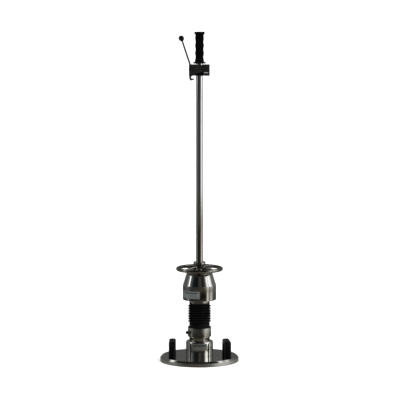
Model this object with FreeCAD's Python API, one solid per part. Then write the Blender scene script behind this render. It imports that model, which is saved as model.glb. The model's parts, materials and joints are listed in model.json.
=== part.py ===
import FreeCAD, Part
import math
import os

from FreeCAD import Vector

os.makedirs("parts", exist_ok=True)

# Light drop-weight deflectometer for dynamic plate load tests.
# Millimetres. Origin: centre of the load plate's underside. +Z up, front is -Y.

# ---------------------------------------------------------------- load plate
PLATE_R = 150.0            # standard 300 mm test plate
PLATE_T = 20.0
PLATE_CHAMFER = 1.2
PLATE_TOP_CHAMFER = 6.5
HUB_R = 52.0
HUB_TOP = 78.0
HUB_FILLET = 6.0
HUB_BOLT_PCR = 37.0
HUB_BOLT_R = 4.0
SENSOR_POCKET_R = 27.0
SENSOR_POCKET_TOP = 54.0
BALL_R = 14.0
BALL_TOP = 84.5
SEAT_R = 12.5
SOCKET_Z = 44.0
HANDLE_X = 104.0
HANDLE_LEN = 120.0
HANDLE_W = 25.0
HANDLE_H = 59.2
HANDLE_BAR = 16.0
HANDLE_YAW_L = -1.0        # degrees
HANDLE_YAW_R = 5.0
HANDLE_SCREW_Y = 48.0

# ------------------------------------------------------------ spring housing
HOUSING_R = 45.0
HOUSING_Z0, HOUSING_Z1 = 91.0, 129.0
NECK_R, NECK_Z0 = 39.0, 78.6
SPIGOT_R, SPIGOT_Z1 = 36.0, 144.0
SPRING_FLOOR = 120.0
SPRING_BORE_R = 33.5
ROD_R = 13.5
ROD_FOOT = 104.0
ROD_TOP = 1250.0
NECK_SCREW_Z = 85.6
LOCK_AZ = 28.0             # degrees towards the front from -X
LOCK_Z = 112.0
LOCK_PIN_R = 4.0

# --------------------------------------------------------- springs, bellows
WASHER_T = 2.5
DISC_RO, DISC_RI, DISC_T = 31.5, 15.8, 2.4
DISC_COUNT = 21
PLATE_Z0, PLATE_Z1 = 224.5, 233.5
PAD_Z1 = 236.5
PP_R = 39.0
TRAVEL = 20.0
BELLOWS_RIDGES = 7
RIDGE_R, VALLEY_R, CUFF_R = 44.2, 37.3, 39.0
LIP_R = 43.8               # bottom lip of the bellows, on the housing's top face
RIDGE_Z0, RIDGE_PITCH = 153.2, 9.68
RUN = 0.07                 # radial running clearance on the guide rod

# --------------------------------------------------------------- drop weight
WEIGHT_R = 64.0
WEIGHT_Z0, SHOULDER_Z, CONE_Z = 236.5, 292.7, 339.0
CONE_R = 49.5
COLLAR_NECK_R = 17.5
RIM_R, RIM_Z0, RIM_Z1 = 23.3, 372.0, 382.0
RING_Z, RING_R, RING_BAR = 354.5, 83.2, 6.7
WEB_T = 7.0                # flat bars that carry the ring
LABEL_T = 0.4

# --------------------------------------------------------- release mechanism
BLOCK_X0, BLOCK_X1 = -40.0, 38.5
BLOCK_D = 20.0             # half depth
BLOCK_Z0, BLOCK_Z1 = 1092.0, 1133.0
PIVOT_X, PIVOT_Z = -24.0, 1116.0
PIVOT_R = 3.0
HOOK_HALF = 5.0
SLOT_HALF = 5.4
CATCH_Z = 1081.0           # catch collar's underside when the weight hangs
LEVER_P0 = (-32.0, 1122.5)
KNOB_C = (-68.5, 1232.0)
KNOB_R = 10.5
LEVER_R = 3.2
GRIP_Z0, GRIP_Z1 = 1137.5, 1257.0


# ------------------------------------------------------------------- helpers
def cyl(r, z0, z1, x=0.0, y=0.0):
    return Part.makeCylinder(r, z1 - z0, Vector(x, y, z0), Vector(0, 0, 1))


def rod(r, p, q):
    a, b = Vector(*p), Vector(*q)
    return Part.makeCylinder(r, (b - a).Length, a, b - a)


def ring(ro, ri, z0, z1):
    return cyl(ro, z0, z1).cut(cyl(ri, z0 - 1, z1 + 1))


def box(x0, x1, y0, y1, z0, z1):
    return Part.makeBox(x1 - x0, y1 - y0, z1 - z0, Vector(x0, y0, z0))


def turned(points):
    """Solid of revolution about Z from (r, z) points; an item (r, z, 'a', rm, zm) reaches
    its point by an arc through (rm, zm)."""
    edges = []
    pts = list(points) + [points[0]]
    for a, b in zip(pts[:-1], pts[1:]):
        p, q = Vector(a[0], 0, a[1]), Vector(b[0], 0, b[1])
        if (p - q).Length < 1e-7:
            continue
        if len(b) > 2:
            edges.append(Part.Arc(p, Vector(b[3], 0, b[4]), q).toShape())
        else:
            edges.append(Part.makeLine(p, q))
    face = Part.Face(Part.Wire(edges))
    s = face.revolve(Vector(0, 0, 0), Vector(0, 0, 1), 360)
    return s if s.Volume > 0 else s.reversed()


def prism_xz(points, y0, y1):
    vs = [Vector(x, y0, z) for x, z in points]
    return Part.Face(Part.makePolygon(vs + [vs[0]])).extrude(Vector(0, y1 - y0, 0))


def edges_where(shape, test):
    return [e for e in shape.Edges if test(e)]


def hexagon(af, z0, z1, x=0.0, y=0.0):
    r = af / math.sqrt(3)
    vs = [
        Vector(x + r * math.cos(math.radians(60 * i)), y + r * math.sin(math.radians(60 * i)), z0)
        for i in range(6)
    ]
    return Part.Face(Part.makePolygon(vs + [vs[0]])).extrude(Vector(0, 0, z1 - z0))


def socket_screw(head_r, head_h, shank_r, length, af):
    """Cap screw along +Z: the head is at z = -head_h..0, the shank reaches z = length."""
    s = cyl(head_r, -head_h, 0)
    rim = edges_where(s, lambda e: abs(e.BoundBox.ZMax + head_h) < 1e-6)
    s = s.makeChamfer(0.6, rim).fuse(cyl(shank_r, 0, length))
    s = s.cut(hexagon(af, -head_h - 1, -head_h * 0.45))
    return s.removeSplitter()


def placed(shape, origin, direction):
    s = shape.copy()
    s.Placement = FreeCAD.Placement(
        Vector(*origin), FreeCAD.Rotation(Vector(0, 0, 1), Vector(*direction))
    )
    return s


def about_z(shape, deg, centre=(0, 0, 0)):
    s = shape.copy()
    s.rotate(Vector(*centre), Vector(0, 0, 1), deg)
    return s


def save(name, shape):
    if isinstance(shape, (list, tuple)):
        shape = Part.makeCompound(list(shape))
    shape.exportStep(f"parts/{name}.step")
    print(f"{name:24s} solids {len(shape.Solids)} volume {shape.Volume:12.1f} valid {shape.isValid()}")


def sector_shell(r, t, z0, z1, a0, a1):
    """A thin plate wrapped on a cylinder of radius r, between azimuths a0 and a1 (degrees from -Y,
    positive towards +X)."""
    face_pts = [Vector(r, 0, z0), Vector(r + t, 0, z0), Vector(r + t, 0, z1), Vector(r, 0, z1)]
    f = Part.Face(Part.makePolygon(face_pts + [face_pts[0]]))
    s = f.revolve(Vector(0, 0, 0), Vector(0, 0, 1), a1 - a0)
    s = s if s.Volume > 0 else s.reversed()
    s.rotate(Vector(0, 0, 0), Vector(0, 0, 1), a0 - 90)
    return s


# ================================================================ load plate
hub_bolt_xy = [
    (HUB_BOLT_PCR * math.cos(math.radians(a)), HUB_BOLT_PCR * math.sin(math.radians(a)))
    for a in (45, 135, 225, 315)
]
handle_screw_xy = []
for side, yaw in ((-1, HANDLE_YAW_L), (1, HANDLE_YAW_R)):
    for y in (-HANDLE_SCREW_Y, HANDLE_SCREW_Y):
        a = math.radians(yaw)
        handle_screw_xy.append((side * HANDLE_X - y * math.sin(a), y * math.cos(a)))

plate = cyl(PLATE_R, 0, PLATE_T)
rim = edges_where(plate, lambda e: e.Closed and e.BoundBox.XLength > 299 and e.BoundBox.ZLength < 0.1)
plate = plate.makeChamfer(PLATE_TOP_CHAMFER, [e for e in rim if e.BoundBox.ZMin > 1])
rim = edges_where(plate, lambda e: e.Closed and e.BoundBox.XLength > 299 and e.BoundBox.ZMax < 0.1)
plate = plate.makeChamfer(PLATE_CHAMFER, rim)
for x, y in hub_bolt_xy:
    plate = plate.cut(cyl(HUB_BOLT_R + 0.5, -1, PLATE_T + 1, x, y)).cut(cyl(7.5, -1, 9.0, x, y))
for x, y in handle_screw_xy:
    plate = plate.cut(cyl(4.5, -1, PLATE_T + 1, x, y)).cut(cyl(7.5, -1, 9.0, x, y))
save("load_plate", plate)

hub = turned([
    (0, PLATE_T), (HUB_R - 1, PLATE_T), (HUB_R, PLATE_T + 1), (HUB_R, HUB_TOP - HUB_FILLET),
    (HUB_R - HUB_FILLET, HUB_TOP, "a", HUB_R - HUB_FILLET * (1 - math.sqrt(0.5)), HUB_TOP - HUB_FILLET * (1 - math.sqrt(0.5))),
    (0, HUB_TOP),
])
hub = hub.cut(cyl(SENSOR_POCKET_R, PLATE_T - 1, SENSOR_POCKET_TOP))
hub = hub.cut(cyl(SEAT_R, 60, HUB_TOP + 1))
hub = hub.cut(ring(48.0, 44.8, PLATE_T - 1, PLATE_T + 2.4))
for x, y in hub_bolt_xy:
    hub = hub.cut(cyl(HUB_BOLT_R, PLATE_T - 1, 44, x, y))
hub = hub.cut(rod(8.0, (0, SENSOR_POCKET_R - 4, SOCKET_Z), (0, HUB_R + 5, SOCKET_Z)))
hub = hub.cut(box(-13, 13, HUB_R - 2.0, HUB_R + 5, SOCKET_Z - 13, SOCKET_Z + 13))
save("sensor_hub", hub)

save("hub_oring", ring(47.8, 45.0, PLATE_T, PLATE_T + 2.3))

bolt = socket_screw(6.5, 8.0, HUB_BOLT_R, 34.0, 6.0)
save("hub_bolts", [placed(bolt, (x, y, 9.0), (0, 0, 1)) for x, y in hub_bolt_xy])

half = math.sqrt(BALL_R ** 2 - (HUB_TOP - (BALL_TOP - BALL_R)) ** 2)
am = math.radians(70)
ball_c = BALL_TOP - BALL_R
seat = turned([
    (0, 60), (SEAT_R - 1, 60), (SEAT_R, 61), (SEAT_R, HUB_TOP), (half, HUB_TOP),
    (0, BALL_TOP, "a", BALL_R * math.cos(am), ball_c + BALL_R * math.sin(am)),
])
save("ball_seat", seat)

sensor = box(-15, 15, -15, 15, 30, 50).fuse(cyl(9, 50, SENSOR_POCKET_TOP))
sensor = sensor.makeFillet(1.5, edges_where(sensor, lambda e: abs(e.BoundBox.ZLength - 20) < 0.01 and e.BoundBox.XLength < 0.1))
save("acceleration_sensor", sensor)

y0 = HUB_R - 2.0
sock = rod(7.9, (0, SENSOR_POCKET_R - 0.5, SOCKET_Z), (0, y0, SOCKET_Z))
sock = sock.fuse(rod(10.5, (0, y0, SOCKET_Z), (0, y0 + 4, SOCKET_Z)))
sock = sock.fuse(rod(8.5, (0, y0 + 4, SOCKET_Z), (0, y0 + 14, SOCKET_Z)))
sock = sock.cut(rod(6.8, (0, y0 + 2, SOCKET_Z), (0, y0 + 15, SOCKET_Z)))
pins = [rod(0.9, (4 * math.cos(a), y0 + 1, SOCKET_Z + 4 * math.sin(a)), (4 * math.cos(a), y0 + 10, SOCKET_Z + 4 * math.sin(a)))
        for a in [math.radians(72 * i + 18) for i in range(5)]]
for p in pins:
    sock = sock.fuse(p)
save("cable_socket", sock)

cap = rod(11.0, (0, y0 + 4.4, SOCKET_Z), (0, y0 + 17, SOCKET_Z))
cap = cap.makeFillet(1.5, edges_where(cap, lambda e: e.BoundBox.YMin > y0 + 16))
cap = cap.cut(rod(8.6, (0, y0 + 4, SOCKET_Z), (0, y0 + 14.2, SOCKET_Z)))
for i in range(18):
    a = math.radians(20 * i)
    cap = cap.cut(rod(0.7, (11.2 * math.cos(a), y0 + 5.5, SOCKET_Z + 11.2 * math.sin(a)), (11.2 * math.cos(a), y0 + 15, SOCKET_Z + 11.2 * math.sin(a))))
save("socket_cap", cap)


def bridge_handle():
    """Bridge handle running along Y, its feet on z = PLATE_T, centred on x = 0."""
    h, l2 = HANDLE_H, HANDLE_LEN / 2
    z0, z1 = PLATE_T, PLATE_T + h
    outer = box(-HANDLE_W / 2, HANDLE_W / 2, -l2, l2, z0, z1)
    outer = outer.makeFillet(17.0, edges_where(outer, lambda e: e.BoundBox.ZMin > z1 - 0.1 and e.BoundBox.XLength > HANDLE_W - 0.1))
    inner = box(-HANDLE_W, HANDLE_W, -l2 + 24, l2 - 24, z0 - 5, z1 - HANDLE_BAR)
    inner = inner.makeFillet(12.0, edges_where(inner, lambda e: e.BoundBox.ZMin > z1 - HANDLE_BAR - 0.1 and e.BoundBox.XLength > HANDLE_W))
    s = outer.cut(inner)
    top = []
    for e in s.Edges:
        b = e.BoundBox
        on_side = abs(abs(b.XMin) - HANDLE_W / 2) < 1e-4 and b.XLength < 1e-4
        reach = max(abs(b.YMin), abs(b.YMax))
        outside = b.ZMax > z1 - 0.1 or reach > l2 - 0.1
        if on_side and outside and b.ZMax > z0 + 1:
            top.append(e)
    s = s.makeFillet(7.0, top)
    under = []
    for e in s.Edges:
        b = e.BoundBox
        on_side = abs(abs(b.XMin) - HANDLE_W / 2) < 1e-4 and b.XLength < 1e-4
        if on_side and b.ZMax < z1 - HANDLE_BAR + 0.1 and max(abs(b.YMin), abs(b.YMax)) < l2 - 20 and b.ZMax > z0 + 1:
            under.append(e)
    try:
        t = s.makeFillet(3.0, under)
        if t.isValid() and t.Volume > 0:
            s = t
    except Exception:
        pass
    for y in (-HANDLE_SCREW_Y, HANDLE_SCREW_Y):
        s = s.cut(cyl(4.0, z0 - 1, z0 + 22, 0, y))
    return s


for name, side, yaw in (("handle_left", -1, HANDLE_YAW_L), ("handle_right", 1, HANDLE_YAW_R)):
    h = bridge_handle()
    h.translate(Vector(side * HANDLE_X, 0, 0))
    save(name, about_z(h, yaw, (side * HANDLE_X, 0, 0)))

hs = socket_screw(6.5, 8.0, 4.0, 32.0, 6.0)
save("handle_screws", [placed(hs, (x, y, 9.0), (0, 0, 1)) for x, y in handle_screw_xy])

save("hub_label", sector_shell(HUB_R, LABEL_T, 45.0, 71.8, -33.0, 33.0))

# ============================================================ loading device
housing = turned([
    (0, NECK_Z0), (NECK_R - 1, NECK_Z0), (NECK_R, NECK_Z0 + 1), (NECK_R, HOUSING_Z0),
    (HOUSING_R - 4.0, HOUSING_Z0 + 0.4), (HOUSING_R, HOUSING_Z0 + 5.0), (HOUSING_R, HOUSING_Z1 - 1),
    (HOUSING_R - 1, HOUSING_Z1), (SPIGOT_R, HOUSING_Z1), (SPIGOT_R, SPIGOT_Z1), (0, SPIGOT_Z1),
])
housing = housing.cut(cyl(SPRING_BORE_R, SPRING_FLOOR, SPIGOT_Z1 + 1))
housing = housing.cut(cyl(ROD_R, ROD_FOOT, SPRING_FLOOR + 1))
housing = housing.cut(turned([(0, NECK_Z0 - 1), (16, NECK_Z0 - 1), (13.0, NECK_Z0 + 2.4), (13.0, 89.5), (0, 89.5)]))
housing = housing.cut(cyl(9.6, 89.0, 98.0)).cut(cyl(6.3, 97.0, ROD_FOOT + 1))
neck_dirs = [(math.sin(math.radians(a)), -math.cos(math.radians(a))) for a in (-60, 60, 180)]
for dx, dy in neck_dirs:
    housing = housing.cut(rod(3.0, (12 * dx, 12 * dy, NECK_SCREW_Z), (38 * dx, 38 * dy, NECK_SCREW_Z)))
    housing = housing.cut(rod(4.4, (34.0 * dx, 34.0 * dy, NECK_SCREW_Z), (48 * dx, 48 * dy, NECK_SCREW_Z)))
lx, ly = -math.cos(math.radians(LOCK_AZ)), -math.sin(math.radians(LOCK_AZ))
housing = housing.cut(rod(4.3, (12 * lx, 12 * ly, LOCK_Z), (30 * lx, 30 * ly, LOCK_Z)))
housing = housing.cut(rod(7.0, (26 * lx, 26 * ly, LOCK_Z), (60 * lx, 60 * ly, LOCK_Z)))
save("spring_housing", housing)

screw = socket_screw(4.25, 6.6, 3.0, 20.5, 4.0)
save("neck_screws", [placed(screw, (34.0 * dx, 34.0 * dy, NECK_SCREW_Z), (-dx, -dy, 0)) for dx, dy in neck_dirs])

save("thrust_pad", turned([(0, BALL_TOP), (12.2, BALL_TOP), (13.0, BALL_TOP + 0.8), (13.0, 89.5), (0, 89.5)]))

save("rod_screw", [placed(socket_screw(9.0, 8.4, 6.0, 30.0, 10.0), (0, 0, 98.0), (0, 0, 1))])

tube = cyl(ROD_R, ROD_FOOT, ROD_TOP)
tube = tube.makeChamfer(1.0, edges_where(tube, lambda e: e.Closed and e.BoundBox.ZLength < 0.1))
tube = tube.cut(cyl(6.0, ROD_FOOT - 1, 134)).cut(cyl(10.0, 140, ROD_TOP + 1))
tube = tube.cut(rod(4.3, (9.0 * lx, 9.0 * ly, LOCK_Z), (20 * lx, 20 * ly, LOCK_Z)))
save("guide_rod", tube)

save("spring_washer_lower", ring(31.5, 15.9, SPRING_FLOOR, SPRING_FLOOR + WASHER_T))
save("spring_washer_upper", ring(31.5, 15.9, PLATE_Z0 - WASHER_T, PLATE_Z0))
save("spring_sleeve", ring(15.4, ROD_R, SPRING_FLOOR, 196.0))

z_lo, z_hi = SPRING_FLOOR + WASHER_T, PLATE_Z0 - WASHER_T
pitch = (z_hi - z_lo) / DISC_COUNT
discs = []
for i in range(DISC_COUNT):
    a, b = z_lo + i * pitch + 0.02, z_lo + (i + 1) * pitch - 0.02
    if i % 2 == 0:
        pts = [(DISC_RI, b - DISC_T), (DISC_RO, a), (DISC_RO, a + DISC_T), (DISC_RI, b)]
    else:
        pts = [(DISC_RI, a), (DISC_RO, b - DISC_T), (DISC_RO, b), (DISC_RI, a + DISC_T)]
    discs.append(turned(pts))
save("disc_springs", discs)

# bellows: cuffs on the two spigots, convolutions between
outer = [(LIP_R - 0.6, HOUSING_Z1), (LIP_R, HOUSING_Z1 + 0.6), (LIP_R, HOUSING_Z1 + 2.6), (LIP_R - 0.8, HOUSING_Z1 + 3.4), (CUFF_R, HOUSING_Z1 + 3.6), (CUFF_R, 145.6), (VALLEY_R + 0.4, 147.2)]
inner = []
wall = 1.5
for i in range(BELLOWS_RIDGES):
    zc = RIDGE_Z0 + i * RIDGE_PITCH
    if i:
        outer.append((VALLEY_R, zc - RIDGE_PITCH / 2 - 0.8))
        outer.append((VALLEY_R, zc - RIDGE_PITCH / 2 + 0.8))
    outer += [(RIDGE_R - 0.7, zc - 1.6), (RIDGE_R, zc - 0.8), (RIDGE_R, zc + 0.8), (RIDGE_R - 0.7, zc + 1.6)]
outer += [(VALLEY_R + 0.4, 216.6), (CUFF_R, 217.6), (CUFF_R, PLATE_Z0 - 0.9), (CUFF_R - 0.6, PLATE_Z0 - 0.3)]
for i in range(BELLOWS_RIDGES):
    zc = RIDGE_Z0 + i * RIDGE_PITCH
    if i:
        inner.append((VALLEY_R - wall, zc - RIDGE_PITCH / 2))
    inner += [(RIDGE_R - 2.2, zc - 0.5), (RIDGE_R - 2.2, zc + 0.5)]
inner = [(SPIGOT_R, HOUSING_Z1), (SPIGOT_R, SPIGOT_Z1 + 0.2), (VALLEY_R - wall, SPIGOT_Z1 + 1.4)] + inner
inner += [(VALLEY_R - 0.6, 215.3), (SPIGOT_R, 216.4), (SPIGOT_R, PLATE_Z0 - 0.3)]
save("bellows", turned(outer + inner[::-1]))

block = box(BLOCK_X0, BLOCK_X1, -BLOCK_D, BLOCK_D, BLOCK_Z0, BLOCK_Z1)
block = block.makeFillet(3.0, edges_where(block, lambda e: e.BoundBox.ZLength > 40))
block = block.makeChamfer(1.0, edges_where(block, lambda e: e.BoundBox.ZLength < 0.01 and (e.BoundBox.ZMin > BLOCK_Z1 - 0.1 or e.BoundBox.ZMax < BLOCK_Z0 + 0.1)))
block = block.cut(cyl(ROD_R, BLOCK_Z0 - 1, BLOCK_Z1 + 1))
block = block.cut(box(BLOCK_X0 - 1, -15.6, -SLOT_HALF, SLOT_HALF, BLOCK_Z0 - 1, BLOCK_Z1 + 1))
mouth = [(-31, 1095.0), (-22, 1097.0), (-12, 1100.2), (-2, 1103.4), (8, 1105.6), (15, 1106.2)]
block = block.cut(prism_xz([(15, BLOCK_Z0 - 1), (-31, BLOCK_Z0 - 1)] + mouth, -BLOCK_D - 1, -BLOCK_D + 5.8))
block = block.cut(box(-31, 15, -BLOCK_D - 1, -BLOCK_D + 4.0, BLOCK_Z0 + 2, 1112.6))
block = block.cut(rod(PIVOT_R, (PIVOT_X, -BLOCK_D - 1, PIVOT_Z), (PIVOT_X, BLOCK_D + 1, PIVOT_Z)))
block = block.cut(box(17.0, 33.0, -BLOCK_D - 1, -BLOCK_D + 4.6, 1101.4, 1106.0))
cover_screw_xz = [(-26.5, 1104.0), (11.0, 1109.6)]
for x, z in cover_screw_xz:
    block = block.cut(rod(1.5, (x, -BLOCK_D + 3, z), (x, -BLOCK_D + 9, z)))
clamp_z = (1099.0, 1126.0)
for z in clamp_z:
    block = block.cut(rod(4.0, (12.0, 0, z), (BLOCK_X1 + 1, 0, z)))
save("release_block", block)

cover = prism_xz([(15, 1112.6), (-31, 1112.6)] + mouth, -BLOCK_D, -BLOCK_D + 4.0)
cover = cover.makeChamfer(0.5, edges_where(cover, lambda e: e.BoundBox.YMax < -BLOCK_D + 0.1))
for x, z in cover_screw_xz:
    cover = cover.cut(rod(1.6, (x, -BLOCK_D - 1, z), (x, -BLOCK_D + 5, z)))
    cover = cover.cut(rod(3.0, (x, -BLOCK_D - 1, z), (x, -BLOCK_D + 1.8, z)))
save("block_cover", cover)
cs = socket_screw(2.9, 1.7, 1.5, 7.0, 2.0)
save("cover_screws", [placed(cs, (x, -BLOCK_D + 1.8, z), (0, 1, 0)) for x, z in cover_screw_xz])

grub = cyl(3.95, 0, 24.0).cut(hexagon(4.0, 19.0, 25.0))
save("clamp_screws", [placed(grub, (13.6, 0, z), (1, 0, 0)) for z in clamp_z])
save("stop_pin", rod(2.25, (17.0, -BLOCK_D + 2.3, 1103.7), (33.0, -BLOCK_D + 2.3, 1103.7)))

pin = rod(PIVOT_R, (PIVOT_X, -BLOCK_D, PIVOT_Z), (PIVOT_X, BLOCK_D + 2.0, PIVOT_Z))
pin = pin.fuse(rod(5.0, (PIVOT_X, -BLOCK_D - 1.6, PIVOT_Z), (PIVOT_X, -BLOCK_D, PIVOT_Z)))
pin = pin.fuse(rod(4.6, (PIVOT_X, BLOCK_D, PIVOT_Z), (PIVOT_X, BLOCK_D + 1.0, PIVOT_Z)))
save("pivot_pin", pin.removeSplitter())

g = GRIP_Z0
gp = [(ROD_R, g), (25.0, g - 0.0), (25.0, g + 4.0), (18.5, g + 6.5)]
for zc, r in ((1149.0, 16.6), (1163.0, 14.9), (1177.0, 16.6), (1191.0, 14.9), (1205.0, 16.6), (1219.0, 14.9), (1233.0, 16.8)):
    gp.append((r, zc))
path = [Vector(r, 0, z) for r, z in gp[3:]]
curve = Part.BSplineCurve()
curve.interpolate(path + [Vector(16.2, 0, 1245.0)])
ge = [
    Part.makeLine(Vector(ROD_R, 0, g), Vector(25, 0, g)),
    Part.makeLine(Vector(25, 0, g), Vector(25, 0, g + 4)),
    Part.makeLine(Vector(25, 0, g + 4), path[0]),
    curve.toShape(),
    Part.makeLine(Vector(16.2, 0, 1245), Vector(20, 0, 1250)),
    Part.makeLine(Vector(20, 0, 1250), Vector(20, 0, 1254)),
    Part.Arc(Vector(20, 0, 1254), Vector(19.1, 0, 1256.1), Vector(17, 0, GRIP_Z1)).toShape(),
    Part.makeLine(Vector(17, 0, GRIP_Z1), Vector(0, 0, GRIP_Z1)),
    Part.makeLine(Vector(0, 0, GRIP_Z1), Vector(0, 0, ROD_TOP)),
    Part.makeLine(Vector(0, 0, ROD_TOP), Vector(ROD_R, 0, ROD_TOP)),
    Part.makeLine(Vector(ROD_R, 0, ROD_TOP), Vector(ROD_R, 0, g)),
]
grip = Part.Face(Part.Wire(ge)).revolve(Vector(0, 0, 0), Vector(0, 0, 1), 360)
save("grip", grip if grip.Volume > 0 else grip.reversed())
save("rod_plug", turned([(0, 1238), (9.2, 1238), (10.0, 1238.8), (10.0, ROD_TOP), (0, ROD_TOP)]))

bush = rod(6.98, (26.0 * lx, 26.0 * ly, LOCK_Z), (45.6 * lx, 45.6 * ly, LOCK_Z))
bush = bush.cut(rod(LOCK_PIN_R + 0.05, (20 * lx, 20 * ly, LOCK_Z), (60 * lx, 60 * ly, LOCK_Z)))
save("lock_bush", bush)

# ============================================================ pressure plate
pp = turned([
    (17.0, PLATE_Z0), (33.5, PLATE_Z0), (33.5, 208.5), (34.2, 207.8), (35.0, 207.8), (35.7, 208.5), (35.7, PLATE_Z0),
    (PP_R - 0.6, PLATE_Z0), (PP_R, PLATE_Z0 + 0.6), (PP_R, PLATE_Z1), (17.0, PLATE_Z1),
])
save("pressure_plate", pp)
save("plate_bush", ring(17.0, ROD_R + RUN, PLATE_Z0, PLATE_Z1))
save("impact_pad", turned([(14.6, PLATE_Z1), (PP_R, PLATE_Z1), (PP_R, PAD_Z1 - 1.2), (PP_R - 1.2, PAD_Z1), (14.6, PAD_Z1)]))

# =============================================================== drop weight
w = turned([
    (17.0, WEIGHT_Z0), (WEIGHT_R - 1.5, WEIGHT_Z0), (WEIGHT_R, WEIGHT_Z0 + 1.5), (WEIGHT_R, SHOULDER_Z - 0.6),
    (WEIGHT_R - 0.3, SHOULDER_Z + 0.6), (CONE_R + 0.5, CONE_Z - 1.2), (CONE_R - 1.0, CONE_Z),
    (COLLAR_NECK_R, CONE_Z), (COLLAR_NECK_R, 317.0), (17.0, 317.0),
])
save("weight_body", w)

f = 4.0
k = 1 - math.sqrt(0.5)
collar = turned([
    (14.4, 317.0), (COLLAR_NECK_R, 317.0), (COLLAR_NECK_R, CONE_Z), (23.0, CONE_Z), (24.0, CONE_Z + 1.0),
    (24.0, CONE_Z + 4.5), (22.0, CONE_Z + 6.0), (COLLAR_NECK_R, CONE_Z + 6.0), (COLLAR_NECK_R, RIM_Z0),
    (RIM_R - 0.4, RIM_Z0), (RIM_R, RIM_Z0 + 0.4), (RIM_R, RIM_Z1 - f),
    (RIM_R - f, RIM_Z1, "a", RIM_R - f * k, RIM_Z1 - f * k),
    (16.0, RIM_Z1), (16.0, 352.0), (14.4, 352.0),
])
save("catch_collar", collar)
save("upper_bush", turned([(ROD_R + RUN, 352.0), (16.0, 352.0), (16.0, RIM_Z1 - 1.0), (ROD_R + RUN + 0.8, RIM_Z1 - 1.0), (ROD_R + RUN, RIM_Z1 - 1.8)]))
save("lower_bush", ring(17.0, ROD_R + RUN, WEIGHT_Z0 + 1.0, WEIGHT_Z0 + 30.0))

hoop = Part.makeTorus(RING_R, RING_BAR, Vector(0, 0, RING_Z), Vector(0, 0, 1))
save("ring_handle", hoop)
spokes = []
for a in (45, 135, 225, 315):
    c, s = math.cos(math.radians(a)), math.sin(math.radians(a))
    sp = prism_xz([
        (10, RING_Z - 9.5), (10, RING_Z + 11.0), (30, RING_Z + 10.0), (60, RING_Z + 6.0), (RING_R, RING_Z + 4.5),
        (RING_R, RING_Z - 4.5), (60, RING_Z - 5.0), (32, RING_Z - 8.0),
    ], -WEB_T / 2, WEB_T / 2)
    sp = about_z(sp, a)
    sp = sp.cut(hoop).cut(cyl(COLLAR_NECK_R, 330, 390))
    sp = max(sp.Solids, key=lambda q: q.Volume)
    spokes.append(sp)
save("ring_spokes", spokes)
save("weight_label", sector_shell(WEIGHT_R, LABEL_T, 246.5, 275.0, -68.0, 1.5))

# ============================================================= release lever
ux, uz = KNOB_C[0] - LEVER_P0[0], KNOB_C[1] - LEVER_P0[1]
ul = math.hypot(ux, uz)
ux, uz = ux / ul, uz / ul
t = (1127.5 - LEVER_P0[1]) / uz
qx, qz = LEVER_P0[0] + ux * t, 1127.5
vx, vz = uz, -ux
hook_pts = [
    (qx - 5.4 * vx, qz - 5.4 * vz), (qx + 5.4 * vx, qz + 5.4 * vz), (-22.0, 1123.8), (-18.2, 1121.2),
    (-16.6, 1117.5), (-16.8, 1113.5), (-19.0, 1110.0), (-24.0, 1106.0), (-27.0, 1100.0),
    (-27.0, 1090.5), (-28.6, 1088.4), (-30.6, 1089.4), (-31.2, 1082.8), (-29.6, 1080.2),
    (-24.0, 1080.0), (-21.5, CATCH_Z), (-19.8, CATCH_Z), (-18.8, CATCH_Z - 0.9), (-20.6, 1077.0), (-27.5, 1073.8),
    (-33.8, 1073.0), (-37.8, 1076.8), (-39.6, 1090.0), (-40.2, 1100.0), (-40.5, 1121.0),
]
hook = prism_xz(hook_pts, -HOOK_HALF, HOOK_HALF)
hook = hook.cut(rod(PIVOT_R + 0.05, (PIVOT_X, -10, PIVOT_Z), (PIVOT_X, 10, PIVOT_Z)))
lever = rod(LEVER_R, (LEVER_P0[0] - 4 * ux, 0, LEVER_P0[1] - 4 * uz), (KNOB_C[0] - 3 * ux, 0, KNOB_C[1] - 3 * uz))
hook = hook.cut(lever)
save("hook_plate", hook)
save("lever_rod", lever)
nut = placed(hexagon(8.0, 0, 4.0).cut(cyl(LEVER_R, -1, 6)), (qx + 0.02 * ux, 0, qz + 0.02 * uz), (ux, 0, uz))
save("lever_nut", nut)
ball = Part.makeSphere(KNOB_R, Vector(KNOB_C[0], 0, KNOB_C[1]))
neck = rod(4.6, (KNOB_C[0] - 12 * ux, 0, KNOB_C[1] - 12 * uz), (KNOB_C[0], 0, KNOB_C[1]))
ball = ball.fuse(neck).removeSplitter().cut(lever)
save("ball_knob", ball)

# ================================================================= lock knob
lp = rod(LOCK_PIN_R, (10.3 * lx, 10.3 * ly, LOCK_Z), (50.0 * lx, 50.0 * ly, LOCK_Z))
save("lock_pin", lp)
lk = rod(6.2, (46.6 * lx, 46.6 * ly, LOCK_Z), (57.0 * lx, 57.0 * ly, LOCK_Z))
lk = lk.makeFillet(1.2, edges_where(lk, lambda e: e.Closed and math.hypot(e.CenterOfMass.x, e.CenterOfMass.y) > 56))
lk = lk.cut(lp)
side = Vector(-ly, lx, 0)
for i in range(12):
    a = math.radians(30 * i)
    off = side * (6.5 * math.cos(a)) + Vector(0, 0, 6.5 * math.sin(a))
    p = Vector(46 * lx, 46 * ly, LOCK_Z) + off
    q = Vector(58 * lx, 58 * ly, LOCK_Z) + off
    lk = lk.cut(Part.makeCylinder(0.8, (q - p).Length, p, q - p))
save("lock_knob", lk)
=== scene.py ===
import json
import math

import bmesh
import bpy
from mathutils import Matrix, Quaternion, Vector


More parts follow.
